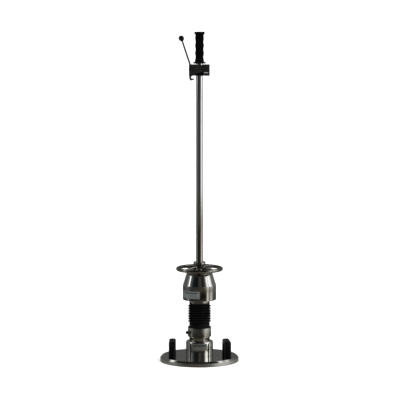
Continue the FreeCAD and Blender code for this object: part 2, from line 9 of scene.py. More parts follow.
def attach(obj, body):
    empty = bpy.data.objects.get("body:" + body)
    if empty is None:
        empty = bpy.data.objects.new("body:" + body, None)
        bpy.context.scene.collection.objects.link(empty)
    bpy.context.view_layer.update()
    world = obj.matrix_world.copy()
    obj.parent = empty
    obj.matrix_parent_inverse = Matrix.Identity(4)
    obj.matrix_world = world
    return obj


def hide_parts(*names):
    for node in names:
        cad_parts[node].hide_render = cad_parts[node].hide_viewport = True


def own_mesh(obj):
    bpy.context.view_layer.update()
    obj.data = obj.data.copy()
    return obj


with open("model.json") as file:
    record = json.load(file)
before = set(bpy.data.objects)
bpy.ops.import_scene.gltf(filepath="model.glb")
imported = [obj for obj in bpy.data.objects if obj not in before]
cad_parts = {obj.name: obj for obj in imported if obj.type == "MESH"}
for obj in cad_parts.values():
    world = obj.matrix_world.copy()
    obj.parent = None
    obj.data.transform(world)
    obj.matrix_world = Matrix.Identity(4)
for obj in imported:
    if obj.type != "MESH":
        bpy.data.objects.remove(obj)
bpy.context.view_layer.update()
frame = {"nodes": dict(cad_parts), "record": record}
nodes = frame["nodes"]
MM = 0.001
TAU = 2 * math.pi

# ---------------------------------------------------------------- mesh helpers


def finish_mesh(name, bm, material, sharp=34.0, subsurf=0):
    """Makes an object of a bmesh whose coordinates are in millimetres."""
    bmesh.ops.remove_doubles(bm, verts=bm.verts, dist=1e-4)
    bmesh.ops.recalc_face_normals(bm, faces=bm.faces)
    if bm.calc_volume(signed=True) < 0:
        bmesh.ops.reverse_faces(bm, faces=bm.faces)
    bm.transform(Matrix.Scale(MM, 4))
    limit = math.radians(sharp)
    for f in bm.faces:
        f.smooth = True
    for e in bm.edges:
        if len(e.link_faces) == 2:
            e.smooth = e.calc_face_angle(0.0) < limit
    me = bpy.data.meshes.new(name)
    bm.to_mesh(me)
    bm.free()
    ob = bpy.data.objects.new(name, me)
    bpy.context.scene.collection.objects.link(ob)
    if material is not None:
        me.materials.append(material)
    return ob


def rounded(points, n=4):
    """A closed (r, z) outline with corners rounded: an item is (r, z) or (r, z, radius)."""
    out = []
    m = len(points)
    for i, p in enumerate(points):
        r = p[2] if len(p) > 2 else 0.0
        c = Vector((p[0], p[1]))
        if r <= 0:
            out.append(c)
            continue
        a = Vector(points[i - 1][:2]) - c
        b = Vector(points[(i + 1) % m][:2]) - c
        la, lb = a.length, b.length
        a.normalize()
        b.normalize()
        ang = math.acos(max(-1, min(1, a.dot(b))))
        if ang > math.radians(178):
            out.append(c)
            continue
        d = min(r / math.tan(ang / 2), la * 0.49, lb * 0.49)
        rr = d * math.tan(ang / 2)
        centre = c + (a + b).normalized() * (rr / math.sin(ang / 2))
        p0, p1 = c + a * d - centre, c + b * d - centre
        t0 = math.atan2(p0.y, p0.x)
        dt = (math.atan2(p1.y, p1.x) - t0 + math.pi) % TAU - math.pi
        for k in range(n + 1):
            t = t0 + dt * k / n
            out.append(centre + Vector((math.cos(t), math.sin(t))) * rr)
    return out


def lathe_bm(outline, segs=160):
    """Revolves a closed outline of (r, z) about Z; points with r = 0 lie on the axis."""
    bm = bmesh.new()
    rings = []
    for p in outline:
        r, z = p[0], p[1]
        if r < 1e-6:
            rings.append([bm.verts.new((0, 0, z))])
        else:
            rings.append([bm.verts.new((r * math.cos(TAU * i / segs), r * math.sin(TAU * i / segs), z)) for i in range(segs)])
    m = len(rings)
    for k in range(m):
        a, b = rings[k], rings[(k + 1) % m]
        if len(a) == 1 and len(b) == 1:
            continue
        for i in range(segs):
            j = (i + 1) % segs
            if len(a) == 1:
                f = (a[0], b[i], b[j])
            elif len(b) == 1:
                f = (a[i], b[0], a[j])
            else:
                f = (a[i], b[i], b[j], a[j])
            try:
                bm.faces.new(f)
            except ValueError:
                pass
    return bm


def loft_bm(loops, cap0=True, cap1=True, bm=None):
    bm = bm or bmesh.new()
    rows = [[bm.verts.new(p) for p in loop] for loop in loops]
    n = len(rows[0])
    for a, b in zip(rows[:-1], rows[1:]):
        for i in range(n):
            j = (i + 1) % n
            bm.faces.new((a[i], a[j], b[j], b[i]))
    if cap0:
        bm.faces.new(rows[0][::-1])
    if cap1:
        bm.faces.new(rows[-1])
    return bm


def circle(r, z, n=48, phase=0.0):
    return [Vector((r * math.cos(TAU * i / n + phase), r * math.sin(TAU * i / n + phase), z)) for i in range(n)]


def hexa(af, z, n=48, soft=0.0):
    out = []
    for i in range(n):
        t = TAU * i / n
        s = (t % (TAU / 6)) - TAU / 12
        r = af / 2 / math.cos(s)
        r = r * (1 - soft) + soft * af / 2 * 1.06
        out.append(Vector((r * math.cos(t), r * math.sin(t), z)))
    return out


def frame_to(origin, direction, up=(0, 0, 1)):
    q = Vector((0, 0, 1)).rotation_difference(Vector(direction).normalized())
    return Matrix.Translation(Vector(origin)) @ q.to_matrix().to_4x4()


def add_at(bm, piece, matrix):
    """Copies a bmesh into another one through a matrix."""
    me = bpy.data.meshes.new("tmp")
    piece.to_mesh(me)
    me.transform(matrix)
    bm.from_mesh(me)
    bpy.data.meshes.remove(me)


def socket_screw_bm(head_r, head_h, shank_r, length, af, edge=0.5):
    """Head on z = -head_h..0, shank up to z = length."""
    h = -head_h
    loops = [hexa(af, h * 0.42), hexa(af, h + 0.35), hexa(af + 0.5, h), circle(head_r - edge, h), circle(head_r - edge * 0.3, h + edge * 0.3),
             circle(head_r, h + edge), circle(head_r, h * 0.5), circle(head_r, -0.3), circle(head_r - 0.3, 0), circle(shank_r, 0), circle(shank_r, length - 0.8), circle(shank_r - 0.8, length)]
    return loft_bm(loops)


def cut(ob, cutters):
    """Subtracts closed bmeshes (millimetres) from an object and applies the result."""
    bm = bmesh.new()
    for c in cutters:
        add_at(bm, c, Matrix.Identity(4))
        c.free()
    bmesh.ops.recalc_face_normals(bm, faces=bm.faces)
    bm.transform(Matrix.Scale(MM, 4))
    me = bpy.data.meshes.new("cutter")
    bm.to_mesh(me)
    bm.free()
    cutter = bpy.data.objects.new("cutter", me)
    bpy.context.scene.collection.objects.link(cutter)
    mod = ob.modifiers.new("cut", "BOOLEAN")
    mod.operation, mod.object, mod.solver = "DIFFERENCE", cutter, "EXACT"
    mod.use_self = False
    bpy.context.view_layer.update()
    dg = bpy.context.evaluated_depsgraph_get()
    new = bpy.data.meshes.new_from_object(ob.evaluated_get(dg))
    ob.modifiers.clear()
    old, ob.data = ob.data, new
    bpy.data.meshes.remove(old)
    bpy.data.objects.remove(cutter)
    mark_sharp(ob)
    return ob


def mark_sharp(ob, limit=34.0):
    bm = bmesh.new()
    bm.from_mesh(ob.data)
    for f in bm.faces:
        f.smooth = True
    for e in bm.edges:
        e.smooth = len(e.link_faces) == 2 and e.calc_face_angle(0.0) < math.radians(limit)
    bm.to_mesh(ob.data)
    bm.free()


def bevelled(ob, width, segments=3, angle=35.0):
    mod = ob.modifiers.new("bevel", "BEVEL")
    mod.width, mod.segments, mod.limit_method = width * MM, segments, "ANGLE"
    mod.angle_limit = math.radians(angle)
    mod.use_clamp_overlap = True
    mod.harden_normals = False
    bpy.context.view_layer.update()
    dg = bpy.context.evaluated_depsgraph_get()
    new = bpy.data.meshes.new_from_object(ob.evaluated_get(dg))
    ob.modifiers.clear()
    old, ob.data = ob.data, new
    bpy.data.meshes.remove(old)
    mark_sharp(ob)
    return ob


def cyl_bm(r, p, q, n=64, chamfer=0.0):
    p, q = Vector(p), Vector(q)
    l = (q - p).length
    if chamfer:
        loops = [circle(r - chamfer, 0, n), circle(r, chamfer, n), circle(r, l - chamfer, n), circle(r - chamfer, l, n)]
    else:
        loops = [circle(r, 0, n), circle(r, l, n)]
    bm = loft_bm(loops)
    bm.transform(frame_to(p, q - p))
    return bm


def box_bm(x0, x1, y0, y1, z0, z1):
    bm = bmesh.new()
    bmesh.ops.create_cube(bm, size=1.0)
    bm.transform(Matrix.Translation(((x0 + x1) / 2, (y0 + y1) / 2, (z0 + z1) / 2)) @ Matrix.Diagonal((x1 - x0, y1 - y0, z1 - z0, 1)))
    return bm


def prism_bm(points, y0, y1):
    """An (x, z) outline extruded along Y."""
    bm = bmesh.new()
    a = [bm.verts.new((x, y0, z)) for x, z in points]
    b = [bm.verts.new((x, y1, z)) for x, z in points]
    n = len(a)
    bm.faces.new(a)
    bm.faces.new(b[::-1])
    for i in range(n):
        j = (i + 1) % n
        bm.faces.new((a[i], b[i], b[j], a[j]))
    return bm


def place(ob, body, slot=None, *replaced):
    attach(ob, body)
    if replaced:
        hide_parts(*replaced)
    return ob


# ------------------------------------------------------------------- materials
class Tree:
    def __init__(self, name):
        self.mat = bpy.data.materials.new(name)
        self.mat.use_nodes = True
        self.nt = self.mat.node_tree
        self.nt.nodes.clear()
        self.out = self.node("ShaderNodeOutputMaterial")
        self.bsdf = self.node("ShaderNodeBsdfPrincipled")
        self.link(self.bsdf.outputs[0], self.out.inputs[0])
        tc = self.node("ShaderNodeTexCoord")
        self.obj = tc.outputs["Object"]
        self.nrm = tc.outputs["Normal"]
        self._bump = None

    def node(self, kind, **props):
        n = self.nt.nodes.new(kind)
        for k, v in props.items():
            setattr(n, k, v)
        return n

    def link(self, a, b):
        self.nt.links.new(a, b)

    def set(self, name, value):
        self.bsdf.inputs[name].default_value = value

    def mapped(self, scale, offset=(0, 0, 0)):
        m = self.node("ShaderNodeMapping")
        m.inputs["Scale"].default_value = scale
        m.inputs["Location"].default_value = offset
        self.link(self.obj, m.inputs["Vector"])
        return m.outputs[0]

    def noise(self, scale=10.0, detail=4.0, rough=0.5, vector=None, distortion=0.0):
        n = self.node("ShaderNodeTexNoise")
        n.inputs["Scale"].default_value = scale
        n.inputs["Detail"].default_value = detail
        n.inputs["Roughness"].default_value = rough
        n.inputs["Distortion"].default_value = distortion
        self.link(vector or self.obj, n.inputs["Vector"])
        return n.outputs["Fac"]

    def noise1d(self, w, scale, detail=3.0, rough=0.6):
        n = self.node("ShaderNodeTexNoise", noise_dimensions="1D")
        n.inputs["Scale"].default_value = scale
        n.inputs["Detail"].default_value = detail
        n.inputs["Roughness"].default_value = rough
        self.link(w, n.inputs["W"])
        return n.outputs["Fac"]

    def voronoi(self, scale, feature="F1", vector=None):
        n = self.node("ShaderNodeTexVoronoi", feature=feature)
        n.inputs["Scale"].default_value = scale
        self.link(vector or self.obj, n.inputs["Vector"])
        return n.outputs["Distance"]

    def math(self, op, a, b=None, c=None, clamp=False):
        n = self.node("ShaderNodeMath", operation=op, use_clamp=clamp)
        for i, v in enumerate((a, b, c)):
            if v is None:
                continue
            if isinstance(v, (int, float)):
                n.inputs[i].default_value = v
            else:
                self.link(v, n.inputs[i])
        return n.outputs[0]

    def range(self, v, a, b, c, d, smooth=False):
        n = self.node("ShaderNodeMapRange")
        n.interpolation_type = "SMOOTHSTEP" if smooth else "LINEAR"
        self.link(v, n.inputs[0])
        for i, x in enumerate((a, b, c, d)):
            n.inputs[i + 1].default_value = x
        return n.outputs[0]

    def mix(self, fac, a, b, blend="MIX"):
        n = self.node("ShaderNodeMix", data_type="RGBA", blend_type=blend)
        if isinstance(fac, (int, float)):
            n.inputs[0].default_value = fac
        else:
            self.link(fac, n.inputs[0])
        for i, v in ((6, a), (7, b)):
            if isinstance(v, (tuple, list)):
                n.inputs[i].default_value = (*v[:3], 1.0)
            else:
                self.link(v, n.inputs[i])
        return n.outputs[2]

    def xyz(self, vector=None):
        n = self.node("ShaderNodeSeparateXYZ")
        self.link(vector or self.obj, n.inputs[0])
        return n.outputs

    def radius(self, cx=0.0, cy=0.0):
        x, y, _ = self.xyz()
        x = self.math("SUBTRACT", x, cx)
        y = self.math("SUBTRACT", y, cy)
        return self.math("SQRT", self.math("ADD", self.math("MULTIPLY", x, x), self.math("MULTIPLY", y, y)))

    def bump(self, height, strength=0.2, distance=0.0002):
        n = self.node("ShaderNodeBump")
        n.inputs["Strength"].default_value = strength
        n.inputs["Distance"].default_value = distance
        self.link(height, n.inputs["Height"])
        if self._bump:
            self.link(self._bump, n.inputs["Normal"])
        self._bump = n.outputs[0]
        return self._bump

    def edge(self, radius=0.0006):
        """0 on flats, towards 1 on edges."""
        b = self.node("ShaderNodeBevel", samples=6)
        b.inputs["Radius"].default_value = radius
        g = self.node("ShaderNodeNewGeometry")
        d = self.node("ShaderNodeVectorMath", operation="DOT_PRODUCT")
        self.link(b.outputs[0], d.inputs[0])
        self.link(g.outputs["Normal"], d.inputs[1])
        return self.range(d.outputs["Value"], 0.985, 0.80, 0.0, 1.0)

    def up(self):
        g = self.node("ShaderNodeNewGeometry")
        return self.xyz(g.outputs["Normal"])[2]

    def done(self, color=None, rough=None):
        if color is not None:
            self.link(color, self.bsdf.inputs["Base Color"])
        if rough is not None:
            self.link(rough, self.bsdf.inputs["Roughness"])
        if self._bump:
            self.link(self._bump, self.bsdf.inputs["Normal"])
        return self.mat


def metal(name, base, rough, lines="z", line_scale=1600.0, line_bump=0.12, var=0.08, cloud=0.10, dark=0.75, scuff=0.5, rim=None):
    t = Tree(name)
    t.set("Metallic", 1.0)
    cloud_n = t.noise(14.0, 5.0, 0.55)
    fine = t.noise(220.0, 3.0, 0.6)
    if lines == "z":
        z = t.xyz()[2]
        wob = t.math("MULTIPLY", t.noise(9.0, 2.0), 0.0004)
        l = t.noise1d(t.math("ADD", z, wob), line_scale, 3.0, 0.7)
    elif lines == "r":
        l = t.noise1d(t.math("ADD", t.radius(), t.math("MULTIPLY", t.noise(9.0, 2.0), 0.0003)), line_scale, 3.0, 0.7)
    elif lines == "vert":
        l = t.noise(1.0, 3.0, 0.6, t.mapped((900.0, 900.0, 12.0)))
    else:
        l = t.noise(600.0, 2.0, 0.5)
    # fine scratches in scattered directions
    scr = t.noise(1.0, 2.0, 0.5, t.mapped((90.0, 90.0, 1400.0), (3.1, 1.7, 0.2)))
    scr_m = t.range(scr, 0.62, 0.70, 0.0, 1.0)
    smudge = t.range(t.noise(26.0, 4.0, 0.6), 0.45, 0.72, 0.0, 1.0, True)
    r = t.math("ADD", t.math("MULTIPLY", t.math("SUBTRACT", l, 0.5), var), rough)
    r = t.math("ADD", r, t.math("MULTIPLY", smudge, var * 0.9))
    r = t.math("ADD", r, t.math("MULTIPLY", scr_m, 0.06 * scuff), clamp=True)
    if rim:
        # the turned rim is coarser than the faced top
        outer = t.math("MULTIPLY", t.range(t.radius(), rim + 0.0015, rim + 0.002, 0.0, 1.0), t.range(t.xyz()[2], 0.0131, 0.0137, 1.0, 0.0))
        r = t.math("ADD", r, t.math("MULTIPLY", outer, 0.26), clamp=True)
    lo = tuple(c * dark for c in base)
    hi = tuple(min(1.0, c * 1.06) for c in base)
    col = t.mix(t.range(cloud_n, 0.3, 0.7, 0.0, 1.0), tuple(a * (1 - cloud) + b * cloud for a, b in zip(base, lo)), hi)
    col = t.mix(t.math("MULTIPLY", smudge, 0.25), col, lo)
    t.bump(l, line_bump, 0.00004)
    t.bump(fine, 0.06, 0.00003)
    return t.done(col, r)


def rubber(name, base=(0.012, 0.013, 0.012), rough=0.55, dust=0.5, grain=900.0, spec=0.42):
    t = Tree(name)
    t.set("Specular IOR Level", spec)
    g = t.noise(grain, 3.0, 0.6)
    patch = t.noise(35.0, 4.0, 0.6)
    up = t.range(t.up(), 0.15, 0.95, 0.0, 1.0, True)
    d = t.math("MULTIPLY", t.math("MULTIPLY", up, t.range(patch, 0.42, 0.66, 0.15, 1.0)), dust)
    col = t.mix(t.range(patch, 0.3, 0.7, 0.0, 1.0), tuple(c * 0.75 for c in base), tuple(c * 1.5 for c in base))
    col = t.mix(d, col, (0.06, 0.058, 0.052))
    r = t.math("ADD", t.range(patch, 0.3, 0.7, rough - 0.06, rough + 0.1), t.math("MULTIPLY", d, 0.2))
    t.bump(g, 0.35, 0.00012)
    t.bump(patch, 0.1, 0.0004)
    return t.done(col, r)


def plastic(name, base, rough=0.4, grain=1400.0, wear=0.4, coat=0.0, spec=0.5):
    t = Tree(name)
    t.set("Specular IOR Level", spec)
    t.set("Coat Weight", coat)
    t.set("Coat Roughness", 0.08)
    v = t.voronoi(grain)
    patch = t.noise(30.0, 4.0, 0.6)
    rub = t.math("MULTIPLY", t.edge(0.0012), t.range(t.noise(60.0, 3.0), 0.4, 0.65, 0.0, wear))
    col = t.mix(t.range(patch, 0.3, 0.7, 0.0, 1.0), tuple(c * 0.8 for c in base), tuple(c * 1.35 for c in base))
    col = t.mix(rub, col, tuple(c * 2.5 + 0.012 for c in base))
    r = t.math("ADD", t.range(patch, 0.3, 0.7, rough - 0.05, rough + 0.08), t.math("MULTIPLY", rub, -0.12))
    t.bump(v, 0.25, 0.00008)
    t.bump(patch, 0.06, 0.0003)
    return t.done(col, r)


def anodised(name, base=(0.045, 0.048, 0.044), rough=0.36):
    t = Tree(name)
    t.set("Metallic", 0.85)
    mill = t.noise(1.0, 3.0, 0.6, t.mapped((25.0, 25.0, 1800.0)))
    patch = t.noise(38.0, 4.0, 0.6)
    e = t.math("MULTIPLY", t.edge(0.0007), t.range(t.noise(120.0, 4.0, 0.7), 0.45, 0.62, 0.0, 0.9))
    col = t.mix(t.range(patch, 0.3, 0.7, 0.0, 1.0), tuple(c * 0.85 for c in base), tuple(c * 1.2 for c in base))
    col = t.mix(e, col, (0.42, 0.42, 0.40))
    r = t.math("ADD", t.range(patch, 0.3, 0.7, rough - 0.05, rough + 0.07), t.math("MULTIPLY", t.math("SUBTRACT", mill, 0.5), 0.12))
    t.bump(mill, 0.15, 0.00005)
    t.bump(t.noise(1500.0, 2.0), 0.12, 0.00004)
    return t.done(col, r)


def oxide(name, base=(0.022, 0.022, 0.023)):
    t = Tree(name)
    t.set("Metallic", 0.7)
    patch = t.noise(300.0, 4.0, 0.6)
    e = t.math("MULTIPLY", t.edge(0.0004), t.range(patch, 0.42, 0.6, 0.1, 0.8))
    col = t.mix(e, t.mix(patch, tuple(c * 0.7 for c in base), tuple(c * 1.5 for c in base)), (0.3, 0.3, 0.29))
    t.bump(patch, 0.2, 0.00006)
    return t.done(col, t.range(patch, 0.3, 0.7, 0.32, 0.5))


def foil(name, az0, az1, z0, z1, strip=0.24, base=(0.17, 0.175, 0.15), band=(0.035, 0.042, 0.038)):
    """Blank wrapped label: a thin border and one plain title strip, placed by azimuth (radians from -Y) and height."""
    t = Tree(name)
    t.set("Metallic", 0.55)
    x, y, z = t.xyz()
    az = t.math("ARCTAN2", x, t.math("MULTIPLY", y, -1.0))
    u = t.range(az, az0, az1, 0.0, 1.0)
    v = t.range(z, z0, z1, 0.0, 1.0)
    du = t.math("SUBTRACT", 0.5, t.math("ABSOLUTE", t.math("SUBTRACT", u, 0.5)))
    dv = t.math("SUBTRACT", 0.5, t.math("ABSOLUTE", t.math("SUBTRACT", v, 0.5)))
    line_u = t.math("MULTIPLY", t.range(du, 0.018, 0.022, 0, 1), t.range(du, 0.030, 0.034, 1, 0))
    line_v = t.math("MULTIPLY", t.range(dv, 0.045, 0.05, 0, 1), t.range(dv, 0.066, 0.07, 1, 0))
    inside_u = t.range(du, 0.018, 0.022, 0, 1)
    inside_v = t.range(dv, 0.045, 0.05, 0, 1)
    border = t.math("MAXIMUM", t.math("MULTIPLY", line_u, inside_v), t.math("MULTIPLY", line_v, inside_u))
    title = t.math("MULTIPLY", t.math("MULTIPLY", t.range(v, 0.86 - strip, 0.865 - strip, 0, 1), t.range(v, 0.86, 0.865, 1, 0)),
                   t.math("MULTIPLY", t.range(u, 0.08, 0.085, 0, 1), t.range(u, 0.92, 0.925, 1, 0)))
    patch = t.noise(45.0, 4.0, 0.6)
    col = t.mix(t.range(patch, 0.35, 0.7, 0, 1), base, tuple(c * 0.72 for c in base))
    col = t.mix(t.math("MULTIPLY", title, 0.8), col, band)
    col = t.mix(t.math("MULTIPLY", border, 0.85), col, band)
    t.bump(t.noise(1.0, 3.0, 0.5, t.mapped((40.0, 40.0, 1500.0))), 0.12, 0.00004)
    t.bump(t.noise(60.0, 3.0), 0.08, 0.0003)
    return t.done(col, t.range(patch, 0.3, 0.7, 0.26, 0.42))


M = {
    "plate_steel": metal("plate_steel", (0.60, 0.595, 0.57), 0.08, "r", 900.0, 0.08, 0.05, rim=0.147),
    "hub_steel": metal("hub_steel", (0.80, 0.80, 0.76), 0.07, "z", 1300.0, 0.07, 0.05),
    "housing_steel": metal("housing_steel", (0.44, 0.425, 0.385), 0.17, "z", 1500.0, 0.25, 0.09),
    "weight_chrome": metal("weight_chrome", (0.55, 0.548, 0.535), 0.065, "z", 1200.0, 0.08, 0.045),
    # the ring and collar materials below are darker copies of the chrome: their low base colour is painted shade
    # standing in for the dark reflections on ring and collar
    "ring_chrome": metal("ring_chrome", (0.30, 0.29, 0.265), 0.08, "none", 900.0, 0.08, 0.08),
    "collar_chrome_painted_dark": metal("collar_chrome_painted_dark", (0.36, 0.35, 0.32), 0.07, "z", 1500.0, 0.08, 0.05),
    "rod_chrome": metal("rod_chrome", (0.70, 0.70, 0.69), 0.10, "z", 1800.0, 0.06, 0.04),
    "zinc_steel": metal("zinc_steel", (0.50, 0.50, 0.47), 0.30, "none", 900.0, 0.15, 0.12),
    "spring_steel": metal("spring_steel", (0.16, 0.15, 0.14), 0.38, "r", 900.0, 0.15, 0.12),
    "bronze": metal("bronze", (0.50, 0.33, 0.17), 0.34, "z", 900.0, 0.15, 0.12),
    "dark_anodised": anodised("dark_anodised"),
    "black_oxide": oxide("black_oxide"),
    "grip_rubber": rubber("grip_rubber", (0.0013, 0.0014, 0.0013), 0.55, 0.05, spec=0.03),
    "black_rubber": rubber("black_rubber", (0.0022, 0.0024, 0.0023), 0.5, 0.08, spec=0.10),
    "dark_steel": metal("dark_steel", (0.17, 0.17, 0.16), 0.36, "vert", 900.0, 0.15, 0.12),
    "lever_oxide": oxide("lever_oxide", (0.014, 0.014, 0.014)),
    "bright_zinc": plastic("bright_zinc", (0.24, 0.24, 0.23), 0.4, 900.0, 0.2),
    "recess_painted_shade": rubber("recess_painted_shade", (0.0015, 0.0015, 0.0015), 0.75, 0.0, spec=0.05),
    # near-black material for the release block's mouth pocket: painted shade standing in for the shadow inside the
    # recess
    "seal_rubber": rubber("seal_rubber", (0.01, 0.01, 0.01), 0.5, 0.1),
    "black_plastic": plastic("black_plastic", (0.0018, 0.0020, 0.0020), 0.36, spec=0.15),
    "knob_plastic": plastic("knob_plastic", (0.002, 0.002, 0.002), 0.16, 2500.0, 0.15, 0.25, spec=0.2),
    "pad_polymer": plastic("pad_polymer", (0.20, 0.195, 0.18), 0.5, 900.0, 0.3),
}
HUB_AZ = math.radians(33.0)
M["hub_foil"] = foil("hub_foil", -HUB_AZ, HUB_AZ, 0.0450, 0.0718)
M["weight_foil"] = foil("weight_foil", math.radians(-68), math.radians(1.5), 0.2465, 0.2750, 0.2, (0.23, 0.25, 0.25), (0.07, 0.08, 0.08))

slot_of = {s["node"]: s["material_slot"] for s in frame["record"]["subparts"]}
for name, ob in nodes.items():
    s = slot_of[name]
    if s == "foil":
        s = "hub_foil" if name == "hub_label" else "weight_foil"
    ob.data.materials.clear()
    ob.data.materials.append(M[s])
    ob.data.polygons.foreach_set("material_index", [0] * len(ob.data.polygons))

# ----------------------------------------------------------------- load plate
ROOT, DEV, ANVIL, WEIGHT, LEVER, LOCK = (
    "load_plate_assembly", "loading_device", "pressure_plate_assembly", "drop_weight", "release_lever", "lock_plunger",
)

hub_bolts = [(37 * math.cos(math.radians(a)), 37 * math.sin(math.radians(a))) for a in (45, 135, 225, 315)]
handle_spots = [(-104.0, -1.0), (104.0, 5.0)]
handle_screws = []
for hx, yaw in handle_spots:
    for y in (-48.0, 48.0):
        a = math.radians(yaw)
        handle_screws.append((hx - y * math.sin(a), y * math.cos(a)))

bm = lathe_bm(rounded([(0, 0), (150, 0, 1.3), (150, 2.4), (150, 12.6), (150, 13.5, 0.3), (149.2, 14.3), (144.3, 19.2), (143.5, 20, 0.3), (142.8, 20), (120, 20), (0, 20)], 5)[:], 360)
plate = finish_mesh("plate_disc", bm, M["plate_steel"], 32)
cutters = []
for x, y in hub_bolts + handle_screws:
    b = loft_bm([circle(7.9, -0.6, 40), circle(7.5, 0.4, 40), circle(7.5, 9.0, 40), circle(4.5, 9.0, 40), circle(4.5, 19.0, 40)])
    b.transform(Matrix.Translation((x, y, 0)))
    cutters.append(b)
cut(plate, cutters)
place(plate, ROOT, "plate_steel", "load_plate")

hub_prof = rounded([(0, 20), (52, 20, 0.8), (52, 78, 6.0), (12.6, 78, 0.3), (12.6, 77.0), (0, 77.0)], 10)
hub = finish_mesh("hub_shell", lathe_bm(hub_prof, 256), M["hub_steel"], 40)
cut(hub, [cyl_bm(8.0, (0, 40, 44), (0, 60, 44)), box_bm(-13, 13, 50, 60, 31, 57)])
place(hub, ROOT, "hub_steel", "sensor_hub")


def screws(name, spec, spots, material, body, node):
    bm = bmesh.new()
    for origin, direction in spots:
        s = socket_screw_bm(*spec)
        add_at(bm, s, frame_to(origin, direction))
        s.free()
    ob = finish_mesh(name, bm, M[material], 30)
    place(ob, body, material, node)
    return ob


screws("hub_cap_screws", (6.5, 8.0, 4.0, 34.0, 6.0), [((x, y, 9.0), (0, 0, 1)) for x, y in hub_bolts], "black_oxide", ROOT, "hub_bolts")
screws("handle_cap_screws", (6.5, 8.0, 4.0, 32.0, 6.0), [((x, y, 9.0), (0, 0, 1)) for x, y in handle_screws], "black_oxide", ROOT, "handle_screws")


def handle(name, hx, yaw, node):
    """Moulded bridge handle: two feet and a crowned bar."""
    path = []
    yc, zc, rr = 30.5, 53.7, 17.5

    def add(y, z, ty, tz, half, wide):
        path.append((y, z, ty, tz, half, wide))

    add(-48, 20.0, 0, 1, 12.6, 12.9)
    add(-48, 21.0, 0, 1, 12.8, 13.0)
    add(-48, 24.0, 0, 1, 12.6, 12.9)
    add(-48, 26.0, 0, 1, 12.0, 12.6)
    for z in (32.0, 40.0, 46.0):
        add(-48, z, 0, 1, 11.6 - (z - 32) * 0.07, 12.5)
    for k in range(0, 13):
        a = math.pi - k / 12 * math.pi / 2
        t = k / 12
        add(-yc + rr * math.cos(a), zc + rr * math.sin(a), math.sin(a), -math.cos(a), 10.6 * (1 - t) + 7.9 * t, 12.5 + 0.7 * t)
    for k in range(1, 12):
        y = -yc + 2 * yc * k / 12
        crown = math.cos(y / yc * math.pi / 2)
        add(y, 71.2 + 0.1 * crown, 1, 0, 7.9 + 0.1 * crown, 13.2)
    mirrored = [(-y, z, ty, -tz, h, w) for y, z, ty, tz, h, w in path[:20][::-1]]
    loops = []
    n = 40
    for y, z, ty, tz, h, w in path + mirrored:
        ny, nz = tz, -ty  # points out of the arch's inner side
        loop = []
        for i in range(n):
            t = TAU * i / n
            c, s = math.cos(t), math.sin(t)
            e = 2 / 3.4
            u = w * math.copysign(abs(c) ** e, c)
            v = h * math.copysign(abs(s) ** e, s)
            loop.append(Vector((u, y + v * ny, z + v * nz)))
        loops.append(loop)
    for loop, z in ((loops[0], 20.0), (loops[-1], 20.0)):
        for p in loop:
            p.z = z
    bm = loft_bm(loops)
    bm.transform(Matrix.Translation((hx, 0, 0)) @ Matrix.Rotation(math.radians(yaw), 4, "Z"))
    ob = finish_mesh(name, bm, M["black_plastic"], 40)
    place(ob, ROOT, "black_plastic", node)
    return ob


handle("handle_moulding_left", -104.0, -1.0, "handle_left")
handle("handle_moulding_right", 104.0, 5.0, "handle_right")


def wrapped_label(name, r, t, a0, a1, z0, z1, material, body, node, corner=1.6):
    """Curved foil with rounded corners, azimuths in degrees from -Y towards +X."""
    nu = 96
    bm = bmesh.new()
    cols = []
    width = math.radians(a1 - a0) * r
    for i in range(nu + 1):
        s = width * i / nu
        d = min(s, width - s)
        inset = 0.0
        if d < corner:
            inset = corner - math.sqrt(max(0.0, corner ** 2 - (corner - d) ** 2))
        az = math.radians(a0) + s / r
        col = []
        for rad in (r, r + t):
            for z in (z0 + inset, z1 - inset):
                col.append(bm.verts.new((rad * math.sin(az), -rad * math.cos(az), z)))
        cols.append(col)
    for a, b in zip(cols[:-1], cols[1:]):
        for i, j in ((0, 1), (1, 3), (3, 2), (2, 0)):
            bm.faces.new((a[i], a[j], b[j], b[i]))
    bm.faces.new((cols[0][0], cols[0][1], cols[0][3], cols[0][2]))
    bm.faces.new((cols[-1][0], cols[-1][1], cols[-1][3], cols[-1][2]))
    ob = finish_mesh(name, bm, material, 30)
    place(ob, body, "foil", node)
    return ob


wrapped_label("hub_foil_label", 52.0, 0.3, -33, 33, 45.0, 71.8, M["hub_foil"], ROOT, "hub_label")

# socket and dust cap at the back of the hub
y0 = 50.0


def turned_y(outline, segs=96):
    b = lathe_bm(outline, segs)
    b.transform(Matrix.Translation((0, 0, 44.0)) @ Matrix.Rotation(math.radians(-90), 4, "X"))
    return b


bm = turned_y(rounded([(0, 27), (7.9, 27), (7.9, y0), (10.5, y0, 0.3), (10.5, y0 + 4, 0.6), (8.5, y0 + 4, 0.3), (8.5, y0 + 14, 0.4), (6.8, y0 + 14, 0.3), (6.8, y0 + 2), (0, y0 + 2)]))
place(finish_mesh("socket_shell", bm, M["zinc_steel"]), ROOT, "zinc_steel", "cable_socket")


def knurled(outline, segs, depth, count, z_lo, z_hi, r_min):
    """Lathe whose outer wall carries straight knurling."""
    bm = lathe_bm(outline, segs)
    for v in bm.verts:
        r = math.hypot(v.co.x, v.co.y)
        if r > r_min and z_lo < v.co.z < z_hi:
            a = math.atan2(v.co.y, v.co.x)
            f = 0.5 + 0.5 * math.cos(a * count)
            k = (r - depth * f ** 2) / r
            v.co.x *= k
            v.co.y *= k
    return bm


